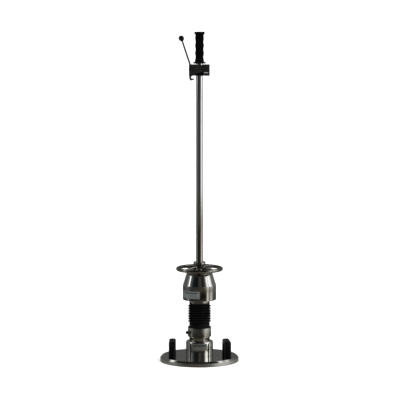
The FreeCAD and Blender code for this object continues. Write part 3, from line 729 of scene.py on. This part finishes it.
cap_prof = [(0, 17.0), (7.0, 17.0), (9.5, 16.9), (10.4, 16.3), (10.9, 15.5), (11.0, 15.2), (11.0, 14.6), (11.0, 10.0), (11.0, 6.0), (11.0, 5.4), (10.8, 4.8), (10.4, 4.4), (8.7, 4.4), (8.7, 14.2), (0, 14.2)]
bm = knurled(cap_prof, 216, 0.7, 24, 5.5, 15.1, 10.95)
bm.transform(Matrix.Translation((0, y0, 44.0)) @ Matrix.Rotation(math.radians(-90), 4, "X"))
place(finish_mesh("dust_cap", bm, M["dark_anodised"], 28), ROOT, "dark_anodised", "socket_cap")

# -------------------------------------------------------------- spring housing
prof = rounded([
    (0, 89.5), (13.1, 89.5), (13.1, 81.0), (16, 78.6, 0.2), (39, 78.6, 0.8), (39, 91.2, 1.0), (41.0, 91.4, 0.8), (45, 96.0, 1.6), (45, 129, 0.9),
    (36, 129), (36, 144, 0.5), (33.5, 144, 0.5), (33.5, 120), (13.55, 120), (13.55, 103.9), (0, 103.9),
], 5)
housing = finish_mesh("housing_shell", lathe_bm(prof, 256), M["housing_steel"], 40)
neck_dirs = [(math.sin(math.radians(a)), -math.cos(math.radians(a))) for a in (-60, 60, 180)]
LX, LY, LZ = -math.cos(math.radians(28.0)), -math.sin(math.radians(28.0)), 112.0
cutters = []
for dx, dy in neck_dirs:
    b = loft_bm([circle(3.0, 0), circle(3.0, 19), circle(4.45, 19), circle(4.45, 23.9), circle(5.2, 25.4), circle(5.6, 28)])
    b.transform(frame_to((15 * dx, 15 * dy, 85.6), (dx, dy, 0)))
    cutters.append(b)
b = cyl_bm(7.0, (26 * LX, 26 * LY, LZ), (60 * LX, 60 * LY, LZ))
cutters.append(b)
cut(housing, cutters)
place(housing, DEV, "housing_steel", "spring_housing")
screws("neck_cap_screws", (4.25, 5.2, 2.95, 20.0, 4.0), [((35.4 * dx, 35.4 * dy, 85.6), (-dx, -dy, 0)) for dx, dy in neck_dirs], "black_oxide", DEV, "neck_screws")

bm = lathe_bm(rounded([(4.05, 0), (6.98, 0, 0.2), (6.98, 19.0, 0.3), (5.2, 19.6, 0.2), (4.05, 19.6)]), 64)
bm.transform(frame_to((26 * LX, 26 * LY, LZ), (LX, LY, 0)))
place(finish_mesh("plunger_bush", bm, M["zinc_steel"]), DEV, "zinc_steel", "lock_bush")

bm = loft_bm([circle(3.2, 0), circle(4.0, 0.9), circle(4.0, 36.5)])
bm.transform(frame_to((10.3 * LX, 10.3 * LY, LZ), (LX, LY, 0)))
place(finish_mesh("plunger_pin", bm, M["zinc_steel"]), LOCK, "zinc_steel", "lock_pin")
kp = [(4.05, 0.0), (5.4, 0.0), (6.0, 0.5), (6.2, 0.9), (6.2, 2.0), (6.2, 3.0), (6.2, 8.0), (6.2, 9.0), (6.05, 9.8), (5.6, 10.25), (5.0, 10.4), (0, 10.4), (0, 0.6), (4.05, 0.6)]
bm = knurled(kp, 168, 0.55, 14, 0.8, 9.4, 6.1)
bm.transform(frame_to((46.6 * LX, 46.6 * LY, LZ), (LX, LY, 0)))
place(finish_mesh("plunger_knob", bm, M["knob_plastic"], 30), LOCK, "knob_plastic", "lock_knob")

# --------------------------------------------------------- springs and bellows
bm = bmesh.new()
pitch = 99.5 / 21
z_lo = 122.5
for i in range(21):
    a, b = z_lo + i * pitch + 0.02, z_lo + (i + 1) * pitch - 0.02
    ri, ro, th = 15.8, 31.5, 2.4
    if i % 2 == 0:
        pts = [(ri, b - th, 0.3), (ro, a, 0.3), (ro, a + th, 0.3), (ri, b, 0.3)]
    else:
        pts = [(ri, a, 0.3), (ro, b - th, 0.3), (ro, b, 0.3), (ri, a + th, 0.3)]
    p = lathe_bm(rounded(pts, 2), 72)
    add_at(bm, p, Matrix.Identity(4))
    p.free()
springs = finish_mesh("disc_spring_stack", bm, M["spring_steel"])
place(springs, DEV, "spring_steel", "disc_springs")
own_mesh(springs)

ridge_r, valley_r = 44.4, 37.0
B0, B1 = 129.05, 224.2
outer = rounded([(36.05, B0), (43.8, B0, 0.6), (43.8, B0 + 3.2, 1.0), (39, B0 + 3.8, 0.8), (39, 145.6, 0.9), (37.2, 147.0, 0.5)], 4)[1:]
n = 30
RZ = 153.2
zs = RZ - 9.68 / 2


def convolution(z, power):
    return (0.5 + 0.5 * math.cos(TAU * (z - RZ) / 9.68)) ** power


for i in range(7 * n + 1):
    z = zs + 9.68 * i / n
    outer.append(Vector((valley_r + (ridge_r - valley_r) * convolution(z, 0.8), z)))
outer += rounded([(37.2, 216.2), (37.2, 216.8, 0.5), (39, 217.8, 0.8), (39, B1, 0.6), (36.05, B1)], 4)[1:-1]
inner = [Vector((36.05, B1)), Vector((36.05, 216.6)), Vector((36.2, 216.0))]
for i in range(7 * n + 1):
    z = zs + 9.68 * (7 - i / n)
    inner.append(Vector((valley_r - 0.75 + (ridge_r - valley_r) * 0.92 * convolution(z, 1.4), z)))
inner += [Vector((36.15, 146.0)), Vector((36.15, 144.2)), Vector((36.05, 143.0)), Vector((36.05, B0))]
bel = finish_mesh("bellows_gaiter", lathe_bm(outer + inner, 200), M["black_rubber"], 60)
place(bel, DEV, "black_rubber", "bellows")
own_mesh(bel)

# ----------------------------------------------------------------------- anvil
bm = lathe_bm(rounded([(17, 224.5), (33.5, 224.5), (33.5, 208.0, 0.3), (35.65, 208.0, 0.3), (35.65, 224.5), (39, 224.5, 0.6), (39, 233.5, 0.5), (17, 233.5)], 4), 256)
place(finish_mesh("anvil_plate", bm, M["housing_steel"]), ANVIL, "housing_steel", "pressure_plate")
bm = lathe_bm(rounded([(14.6, 233.5), (38.6, 233.5, 0.3), (38.6, 236.5, 1.0), (14.6, 236.5, 0.4)], 4), 256)
place(finish_mesh("anvil_pad", bm, M["pad_polymer"]), ANVIL, "pad_polymer", "impact_pad")

# ----------------------------------------------------------------- drop weight
prof = rounded([(17, 236.5), (64, 236.5, 1.6), (64, 292.7, 1.6), (49.3, 339, 1.4), (17.5, 339), (17.5, 317), (17, 317)], 7)
w = finish_mesh("weight_drum", lathe_bm(prof, 288), M["weight_chrome"], 50)
place(w, WEIGHT, "weight_chrome", "weight_body")
prof = rounded([
    (14.4, 317), (17.5, 317), (17.5, 339), (24, 339, 0.5), (24, 344.2, 1.0), (20.6, 345.6, 2.0), (17.5, 349.0, 4.0), (17.5, 372.0, 0.7), (23.3, 372.0, 0.6), (23.3, 382.0, 4.2), (16.0, 382.0, 0.4), (16.0, 352), (14.4, 352)], 8)
c = finish_mesh("collar_spool", lathe_bm(prof, 192), M["collar_chrome_painted_dark"], 50)
place(c, WEIGHT, "rod_chrome", "catch_collar")

RZ0, RR, RB = 354.5, 83.2, 6.7
bm = bmesh.new()
NR, NB = 256, 44
rows = []
for i in range(NR):
    a = TAU * i / NR
    row = []
    for j in range(NB):
        rad = RR + RB * math.cos(TAU * j / NB)
        row.append(bm.verts.new((rad * math.cos(a), rad * math.sin(a), RZ0 + RB * math.sin(TAU * j / NB))))
    rows.append(row)
for i in range(NR):
    for j in range(NB):
        k, l = (i + 1) % NR, (j + 1) % NB
        bm.faces.new((rows[i][j], rows[k][j], rows[k][l], rows[i][l]))
place(finish_mesh("ring_grip_hoop", bm, M["ring_chrome"]), WEIGHT, "ring_chrome", "ring_handle")

# flat bars from the collar to the hoop, with weld beads at both ends
bm = bmesh.new()
for a in (45, 135, 225, 315):
    bar = bmesh.new()
    secs = [(16.6, -10.6, 12.2, 4.9), (18.0, -10.2, 11.8, 4.5), (19.6, -9.6, 11.1, 3.7), (22.0, -9.3, 10.8, 3.5), (32.0, -8.0, 9.8, 3.5), (46.0, -6.6, 8.0, 3.5),
            (60.0, -5.1, 6.0, 3.5), (72.5, -4.7, 4.9, 3.5), (75.0, -5.0, 5.1, 3.7), (77.4, -5.4, 5.4, 4.3), (79.5, -5.4, 5.4, 4.6)]
    loops = []
    for x, lo, hi, t in secs:
        mid, half = (lo + hi) / 2, (hi - lo) / 2
        loop = []
        for i in range(28):
            ang = TAU * i / 28
            cs, sn = math.cos(ang), math.sin(ang)
            loop.append(Vector((x, t * math.copysign(abs(cs) ** 0.35, cs), RZ0 + mid + half * math.copysign(abs(sn) ** 0.35, sn))))
        loops.append(loop)
    b = loft_bm(loops, bm=bar)
    b.transform(Matrix.Rotation(math.radians(a), 4, "Z"))
    add_at(bm, b, Matrix.Identity(4))
    b.free()
place(finish_mesh("ring_arms", bm, M["ring_chrome"], 40), WEIGHT, "ring_chrome", "ring_spokes")
wrapped_label("weight_foil_label", 64.0, 0.3, -68, 1.5, 246.5, 275.0, M["weight_foil"], WEIGHT, "weight_label")

# ------------------------------------------------------------------- guide rod
bm = lathe_bm(rounded([(0, 104), (13.5, 104, 1.0), (13.5, 1249.5, 1.0), (0, 1249.5)], 4), 128)
rod_ob = finish_mesh("guide_tube", bm, M["rod_chrome"])
place(rod_ob, DEV, "rod_chrome", "guide_rod")

# ------------------------------------------------------------------------ grip
g0 = 1137.5


def grip_r(z):
    base = 15.75 + 0.95 * math.cos(TAU * (z - 1149.0) / 28.0)
    if z < 1149.0:
        base = 16.7 + 1.8 * ((1149.0 - z) / 6.0) ** 2
    return base


outer = rounded([(13.5, g0), (25.0, g0, 1.0), (25.0, g0 + 4.0, 1.6), (19.0, g0 + 6.0, 1.5)], 5)[1:]
k = 0
z = g0 + 7.0
while z < 1244.5:
    rib = 0.28 * max(0.0, math.cos(TAU * (z - 1149.0) / 2.8)) if 1147.0 < z < 1243.0 else 0.0
    outer.append(Vector((grip_r(z) + rib, z)))
    z += 0.35
outer += rounded([(16.4, 1244.6), (16.6, 1246.4, 1.0), (19.9, 1250.2, 1.2), (20.0, 1254.0, 1.4), (18.0, 1256.7, 1.6), (5.0, 1257.0, 1.0), (0, 1257.0), (0, 1250.0), (13.5, 1250.0)], 5)
outer = [Vector((13.5, g0))] + outer
grip = finish_mesh("grip_sleeve", lathe_bm(outer, 128), M["grip_rubber"], 60)
place(grip, DEV, "black_rubber", "grip")

# --------------------------------------------------------------- release block
X0, X1, BD, Z0, Z1 = -40.0, 38.5, 20.0, 1092.0, 1133.0
out = [(v.x, v.y) for v in rounded([(X0, -BD, 3.0), (X1, -BD, 3.0), (X1, BD, 3.0), (X0, BD, 3.0)], 6)]
bm = bmesh.new()
loops = [[Vector((x, y, Z0)) for x, y in out], [Vector((x, y, Z1)) for x, y in out]]
bm = loft_bm(loops)
block = finish_mesh("release_body", bm, M["dark_anodised"], 30)
cut(block, [box_bm(X0 - 5, -15.6, -5.4, 5.4, Z0 - 3, Z1 + 3)])
mouth = [(-31, 1095.0), (-22, 1097.0), (-12, 1100.2), (-2, 1103.4), (8, 1105.6), (15, 1106.2)]
cut(block, [prism_bm([(15, Z0 - 3), (-31, Z0 - 3)] + mouth, -BD - 3, -BD + 5.8)])
cut(block, [box_bm(-31, 15, -BD - 3, -BD + 4.0, Z0 + 2.5, 1112.6)])
cut(block, [box_bm(17, 33, -BD - 3, -BD + 4.6, 1101.4, 1106.0), cyl_bm(13.55, (0, 0, Z0 - 3), (0, 0, Z1 + 3), 128)])
cut(block, [cyl_bm(4.0, (26.0, 0, 1099.0), (45, 0, 1099.0)), cyl_bm(4.0, (26.0, 0, 1126.0), (45, 0, 1126.0))])
# the mouth pocket's inner faces get the near-black material: painted shade for the recess
block.data.materials.append(M["recess_painted_shade"])
for f in block.data.polygons:
    c = f.center / MM
    if -30.9 < c.x < 14.9 and -BD + 0.2 < c.y < -BD + 6.0 and c.z < 1107.0 and f.area > 0 and f.normal.z < 0.5:
        f.material_index = 1
bevelled(block, 0.5, 2)
place(block, DEV, "dark_anodised", "release_block")

bm = prism_bm([(14.9, 1112.5), (-30.9, 1112.5)] + [(max(-30.9, min(14.9, x)), z + 0.1) for x, z in mouth], -BD, -BD + 4.0)
cover = finish_mesh("mouth_cover", bm, M["dark_anodised"], 30)
cut(cover, [cyl_bm(3.05, (x, -BD - 2, z), (x, -BD + 1.8, z), 40) for x, z in ((-26.5, 1104.0), (11.0, 1109.6))])
bevelled(cover, 0.35, 2)
place(cover, DEV, "dark_anodised", "block_cover")
screws("cover_cap_screws", (2.9, 1.7, 1.5, 7.0, 2.0, 0.25), [((x, -BD + 1.8, z), (0, 1, 0)) for x, z in ((-26.5, 1104.0), (11.0, 1109.6))], "black_oxide", DEV, "cover_screws")

bm = cyl_bm(2.2, (17.1, -BD + 2.4, 1103.7), (32.9, -BD + 2.4, 1103.7), 40, 0.4)
place(finish_mesh("stop_dowel", bm, M["bright_zinc"]), DEV, "zinc_steel", "stop_pin")

PX, PZ = -24.0, 1116.0
bm = bmesh.new()
b = loft_bm([circle(3.6, -1.6), circle(4.4, -1.6), circle(5.0, -1.0), circle(5.0, 0.0), circle(3.0, 0.0), circle(3.0, 41.2), circle(2.6, 41.6)])
add_at(bm, b, frame_to((PX, -BD, PZ), (0, 1, 0)))
b.free()
b = loft_bm([circle(4.6, 0.0), circle(4.6, 1.0), circle(2.2, 1.0), circle(2.2, 0.0)])
b.free()
ring_prof = rounded([(3.0, 0.0), (4.6, 0.0, 0.2), (4.6, 1.0, 0.2), (3.0, 1.0)], 2)
b = lathe_bm(ring_prof, 48)
add_at(bm, b, frame_to((PX, BD, PZ), (0, 1, 0)))
b.free()
place(finish_mesh("pivot_bolt", bm, M["black_oxide"], 30), DEV, "black_oxide", "pivot_pin")

# --------------------------------------------------------------- release lever
P0, KC = Vector((-32.0, 1122.5)), Vector((-68.5, 1232.0))
u = (KC - P0).normalized()
v = Vector((u.y, -u.x))
q = P0 + u * ((1127.5 - P0.y) / u.y)
pts = [q - v * 5.4, q + v * 5.4] + [Vector(p) for p in (
    (-22.0, 1123.8), (-18.2, 1121.2), (-16.6, 1117.5), (-16.8, 1113.5), (-19.0, 1110.0), (-24.0, 1106.0), (-27.0, 1100.0),
    (-27.0, 1090.5), (-28.6, 1088.4), (-30.6, 1089.4), (-31.2, 1082.8), (-29.6, 1080.2),
    (-24.0, 1079.8), (-21.5, 1080.85), (-19.9, 1080.85), (-19.0, 1080.0), (-20.6, 1077.0), (-27.5, 1073.8),
    (-33.8, 1073.0), (-37.8, 1076.8), (-39.6, 1090.0), (-40.2, 1100.0), (-40.5, 1121.0))]
radii = [1.5, 1.5, 4, 3, 3, 3, 4, 5, 5, 1.5, 0.8, 0.8, 1.5, 1.0, 1.0, 0.4, 0.3, 0.3, 1.0, 3.0, 2.5, 2.5, 6, 8, 4]
outline = rounded([(p.x, p.y, r) for p, r in zip(pts, radii)], 4)
hook = finish_mesh("hook_arm", prism_bm([(p.x, p.y) for p in outline], -5.0, 5.0), M["dark_steel"], 30)
cut(hook, [cyl_bm(3.06, (PX, -9, PZ), (PX, 9, PZ), 48)])
bevelled(hook, 0.35, 2, 50)
place(hook, LEVER, "dark_steel", "hook_plate")

a3 = Vector((P0.x, 0, P0.y))
k3 = Vector((KC.x, 0, KC.y))
d3 = (k3 - a3).normalized()
bm = loft_bm([circle(2.7, 0, 32), circle(3.2, 0.5, 32), circle(3.2, (k3 - a3).length + 1.0, 32)])
bm.transform(frame_to(a3 - d3 * 4.0, d3))
place(finish_mesh("lever_shaft", bm, M["lever_oxide"]), LEVER, "black_oxide", "lever_rod")

q3 = Vector((q.x, 0, q.y))
nut = loft_bm([circle(3.22, 0.0), circle(3.7, 0.0), hexa(7.7, 0.2, soft=0.3), hexa(8.0, 0.6), hexa(8.0, 3.4), hexa(7.7, 3.8, soft=0.3), circle(3.7, 4.0), circle(3.22, 4.0), circle(3.22, 0.0)], False, False)
nut.transform(frame_to(q3 + d3 * 0.1, d3))
place(finish_mesh("jam_nut", nut, M["black_oxide"], 25), LEVER, "black_oxide", "lever_nut")

prof = []
for i in range(33):
    t = -math.pi / 2 + math.pi * i / 32
    r, z = 10.8 * math.cos(t), 10.8 * math.sin(t)
    if z > -9.7:
        prof.append(Vector((max(0.0, r if i < 32 else 0.0), z)))
prof = [Vector((3.22, -12.0)), Vector((4.2, -12.0)), Vector((4.6, -11.6)), Vector((4.6, -9.6))] + prof + [Vector((0, -3.0)), Vector((3.22, -3.0))]
bm = lathe_bm(prof, 96)
bm.transform(frame_to(k3, d3))
place(finish_mesh("lever_knob", bm, M["knob_plastic"], 40), LEVER, "knob_plastic", "ball_knob")

# ----------------------------------------------------------------- fine shading on carried-over nodes
for name, ob in nodes.items():
    if not ob.hide_render:
        for p in ob.data.polygons:
            p.use_smooth = False

# ----------------------------------------------------------------------- stage
scene = bpy.context.scene
floor_me = bpy.data.meshes.new("studio_floor")
S = 60.0
floor_me.from_pydata([(-S, -S, -0.0005), (S, -S, -0.0005), (S, S, -0.0005), (-S, S, -0.0005)], [], [(0, 1, 2, 3)])
floor = bpy.data.objects.new("studio_floor", floor_me)
scene.collection.objects.link(floor)
ft = Tree("studio_floor")
ft.set("Base Color", (0.88, 0.88, 0.88, 1))
ft.set("Roughness", 0.9)
ft.set("Specular IOR Level", 0.1)
floor_me.materials.append(ft.mat)
floor.visible_glossy = False

world = bpy.data.worlds.new("studio")
scene.world = world
world.use_nodes = True
nt = world.node_tree
nt.nodes.clear()


def wn(kind, **props):
    n = nt.nodes.new(kind)
    for k, v in props.items():
        setattr(n, k, v)
    return n


def wmath(op, a, b=None, clamp=False):
    n = wn("ShaderNodeMath", operation=op, use_clamp=clamp)
    for i, v in enumerate((a, b)):
        if v is None:
            continue
        if isinstance(v, (int, float)):
            n.inputs[i].default_value = v
        else:
            nt.links.new(v, n.inputs[i])
    return n.outputs[0]


def ramp(stops, fac):
    n = wn("ShaderNodeValToRGB")
    cr = n.color_ramp
    cr.interpolation = "LINEAR"
    stops = sorted(stops)
    while len(cr.elements) < len(stops):
        cr.elements.new(0.5)
    for e, (az, c) in zip(cr.elements, stops):
        e.position = (az + 180.0) / 360.0
        e.color = (*c, 1.0)
    nt.links.new(fac, n.inputs[0])
    return n.outputs[0]


tc = wn("ShaderNodeTexCoord")
sep = wn("ShaderNodeSeparateXYZ")
nt.links.new(tc.outputs["Generated"], sep.inputs[0])
wx, wy, wz = sep.outputs
az = wmath("ARCTAN2", wx, wmath("MULTIPLY", wy, -1.0))
fac = wmath("ADD", wmath("DIVIDE", az, TAU), 0.5)
def greys(stops, warm=((-180, 1, 1, 0.98), (180, 1, 1, 0.98))):
    out = []
    for a, v in stops:
        tr, tg, tb = warm[0][1:]
        for (a0, *c0), (a1, *c1) in zip(warm[:-1], warm[1:]):
            if a0 <= a <= a1:
                k = (a - a0) / (a1 - a0)
                tr, tg, tb = (x + (y - x) * k for x, y in zip(c0, c1))
        out.append((a, (v * tr, v * tg, v * tb)))
    return out


BROWN = ((-180, 1, 1, 0.97), (-70, 0.98, 1, 0.97), (-35, 1, 1, 0.95), (-10, 1.15, 0.96, 0.68), (35, 1.18, 0.95, 0.62), (60, 1.05, 1.0, 0.9), (95, 1.02, 1, 0.93), (180, 1, 1, 0.97))
floor_glow = ramp(greys([
    (-180, 0.14), (-140, 0.22), (-105, 0.14), (-92, 0.40), (-78, 0.42), (-66, 0.20), (-40, 0.17), (0, 0.21), (28, 0.22), (40, 0.26), (56, 0.55), (72, 0.40), (88, 0.52),
    (108, 0.26), (140, 0.16), (180, 0.14),
], ((-180, 1, 0.95, 0.88), (0, 1, 0.88, 0.70), (60, 1, 0.95, 0.85), (180, 1, 0.95, 0.88))), fac)
foot = ramp(greys([
    (-180, 0.10), (-150, 0.085), (-128, 0.035), (-112, 0.055), (-98, 0.09), (-90, 0.30), (-86, 0.5), (-79, 0.5), (-77, 0.04), (-68, 0.012), (-45, 0.007),
    (-10, 0.008), (8, 0.012), (24, 0.006), (38, 0.01), (46, 0.03), (51, 0.22), (54, 0.80), (58, 1.0), (64, 0.92), (67, 0.35), (73, 0.20), (78, 0.55), (84, 0.72), (94, 0.66),
    (102, 0.38), (109, 0.14), (124, 0.07), (146, 0.14), (180, 0.10),
], BROWN), fac)
house = ramp(greys([
    (-180, 0.22), (-145, 0.27), (-128, 0.14), (-112, 0.12), (-100, 0.17), (-86, 0.13), (-73, 0.15), (-61, 0.12), (-50, 0.10), (-30, 0.12), (-12, 0.11),
    (10, 0.09), (20, 0.075), (30, 0.08), (40, 0.12), (50, 0.17), (61, 0.21), (73, 0.17), (86, 0.22), (100, 0.24), (117, 0.14), (139, 0.09), (155, 0.15), (180, 0.22),
], BROWN), fac)
low = ramp(greys([
    (-180, 0.09), (-150, 0.085), (-130, 0.06), (-115, 0.11), (-100, 0.125), (-92, 0.105), (-84, 0.17), (-78, 0.10), (-72, 0.065), (-58, 0.035), (-44, 0.034),
    (-34, 0.05), (-25, 0.034), (-8, 0.05), (10, 0.07), (24, 0.062), (34, 0.055), (42, 0.11), (48, 0.22), (54, 0.66), (59, 0.90), (64, 0.80), (69, 0.42), (75, 0.24), (81, 0.32), (88, 0.48), (94, 0.56),
    (101, 0.36), (112, 0.16), (130, 0.15), (152, 0.24), (180, 0.11),
], BROWN), fac)
mid = ramp(greys([
    (-180, 0.36), (-130, 0.36), (-105, 0.30), (-90, 0.20), (-69, 0.14), (-45, 0.07), (-20, 0.055), (5, 0.04), (20, 0.06), (33, 0.25), (45, 0.70),
    (60, 1.12), (80, 1.08), (95, 0.78), (117, 0.46), (140, 0.40), (180, 0.36),
], ((-180, 0.97, 1, 1), (-60, 0.94, 1, 1), (20, 0.92, 1, 0.97), (60, 0.97, 1, 1.0), (180, 0.97, 1, 1))), fac)
high = ramp(greys([
    (-180, 0.105), (-126, 0.13), (-111, 0.115), (-98, 0.24), (-90, 0.42), (-86, 0.7), (-83, 2.3), (-77, 2.3), (-74, 0.2), (-64, 0.12), (-56, 0.10), (-50, 0.018),
    (-33, 0.016), (-24, 0.004), (-10, 0.025), (4, 0.085), (14, 0.04), (24, 0.02), (35, 0.03), (43, 0.14), (51, 0.62), (57, 1.75), (62, 1.6), (67, 1.1), (75, 1.75), (88, 1.7),
    (97, 0.95), (105, 0.35), (112, 0.15), (126, 0.25), (150, 0.12), (180, 0.105),
], ((-180, 1, 1, 0.97), (-80, 1, 1, 1), (-50, 0.8, 1, 1), (-20, 0.8, 1, 1), (0, 1.1, 0.97, 0.85), (30, 1.1, 0.97, 0.9), (60, 1, 1, 1), (180, 1, 1, 0.97))), fac)
top = ramp(greys([
    (-180, 0.05), (-145, 0.07), (-131, 0.25), (-126, 1.3), (-116, 1.6), (-113, 0.12), (-110, 0.02), (-60, 0.01), (60, 0.01), (95, 0.015), (98, 0.15), (100, 1.3), (107, 1.3),
    (111, 0.25), (118, 0.9), (137, 1.1), (143, 0.4), (155, 0.12), (180, 0.05),
]), fac)


def blend_z(a, b, z0, z1):
    m = wn("ShaderNodeMapRange")
    m.interpolation_type = "SMOOTHSTEP"
    nt.links.new(wz, m.inputs[0])
    for i, x in enumerate((z0, z1, 0.0, 1.0)):
        m.inputs[i + 1].default_value = x
    n = wn("ShaderNodeMix", data_type="RGBA")
    nt.links.new(m.outputs[0], n.inputs[0])
    for i, x in ((6, a), (7, b)):
        if isinstance(x, tuple):
            n.inputs[i].default_value = x
        else:
            nt.links.new(x, n.inputs[i])
    return n.outputs[2]


deep = blend_z(floor_glow, foot, -0.36, -0.23)
band = blend_z(deep, house, -0.1775, -0.1755)
band = blend_z(band, low, -0.169, -0.161)
band = blend_z(band, mid, -0.146, -0.125)
band = blend_z(band, high, 0.02, 0.07)
band = blend_z(band, top, 0.60, 0.68)
dome = blend_z(band, (0.018, 0.018, 0.018, 1), 0.90, 0.97)
lp = wn("ShaderNodeLightPath")
bg_env = wn("ShaderNodeBackground")
nt.links.new(dome, bg_env.inputs["Color"])
bg_white = wn("ShaderNodeBackground")
bg_white.inputs["Color"].default_value = (1, 1, 1, 1)
bg_white.inputs["Strength"].default_value = 1.1
mixs = wn("ShaderNodeMixShader")
nt.links.new(lp.outputs["Is Camera Ray"], mixs.inputs[0])
nt.links.new(bg_env.outputs[0], mixs.inputs[1])
nt.links.new(bg_white.outputs[0], mixs.inputs[2])
wo = wn("ShaderNodeOutputWorld")
nt.links.new(mixs.outputs[0], wo.inputs[0])

sun_d = bpy.data.lights.new("overhead", "SUN")
sun_d.energy = 4.4
sun_d.angle = math.radians(60)
sun = bpy.data.objects.new("overhead", sun_d)
sun.rotation_euler = (math.radians(18), math.radians(14), 0)
sun.visible_glossy = False
scene.collection.objects.link(sun)


def area(name, loc, target, size, energy, glossy=False, size_y=None):
    d = bpy.data.lights.new(name, "AREA")
    d.shape = "RECTANGLE"
    d.size, d.size_y = size, size_y or size
    d.energy = energy
    o = bpy.data.objects.new(name, d)
    o.location = loc
    o.rotation_euler = (Vector(target) - Vector(loc)).to_track_quat("-Z", "Y").to_euler()
    o.visible_glossy = glossy
    o.visible_camera = False
    scene.collection.objects.link(o)
    return o


area("key_right", (3.2, -2.2, 2.4), (0, 0, 0.6), 2.0, 34, False, 2.4)
area("fill_left", (-3.4, -2.6, 1.6), (0, 0, 0.6), 1.6, 28, False, 2.4)

cam_d = bpy.data.cameras.new("camera")
cam_d.sensor_width = 36.0
cam_d.lens = 36.0 * 2330.8 / 400.0
cam_d.clip_start, cam_d.clip_end = 0.1, 300.0
cam = bpy.data.objects.new("camera", cam_d)
cam.location = (0.0, -8.8, 1.65)
target = Vector((0.0019, 0.0, 0.6183))
cam.rotation_euler = (target - cam.location).to_track_quat("-Z", "Y").to_euler()
scene.collection.objects.link(cam)
scene.camera = cam

scene.view_settings.view_transform = "Standard"
scene.view_settings.look = "None"
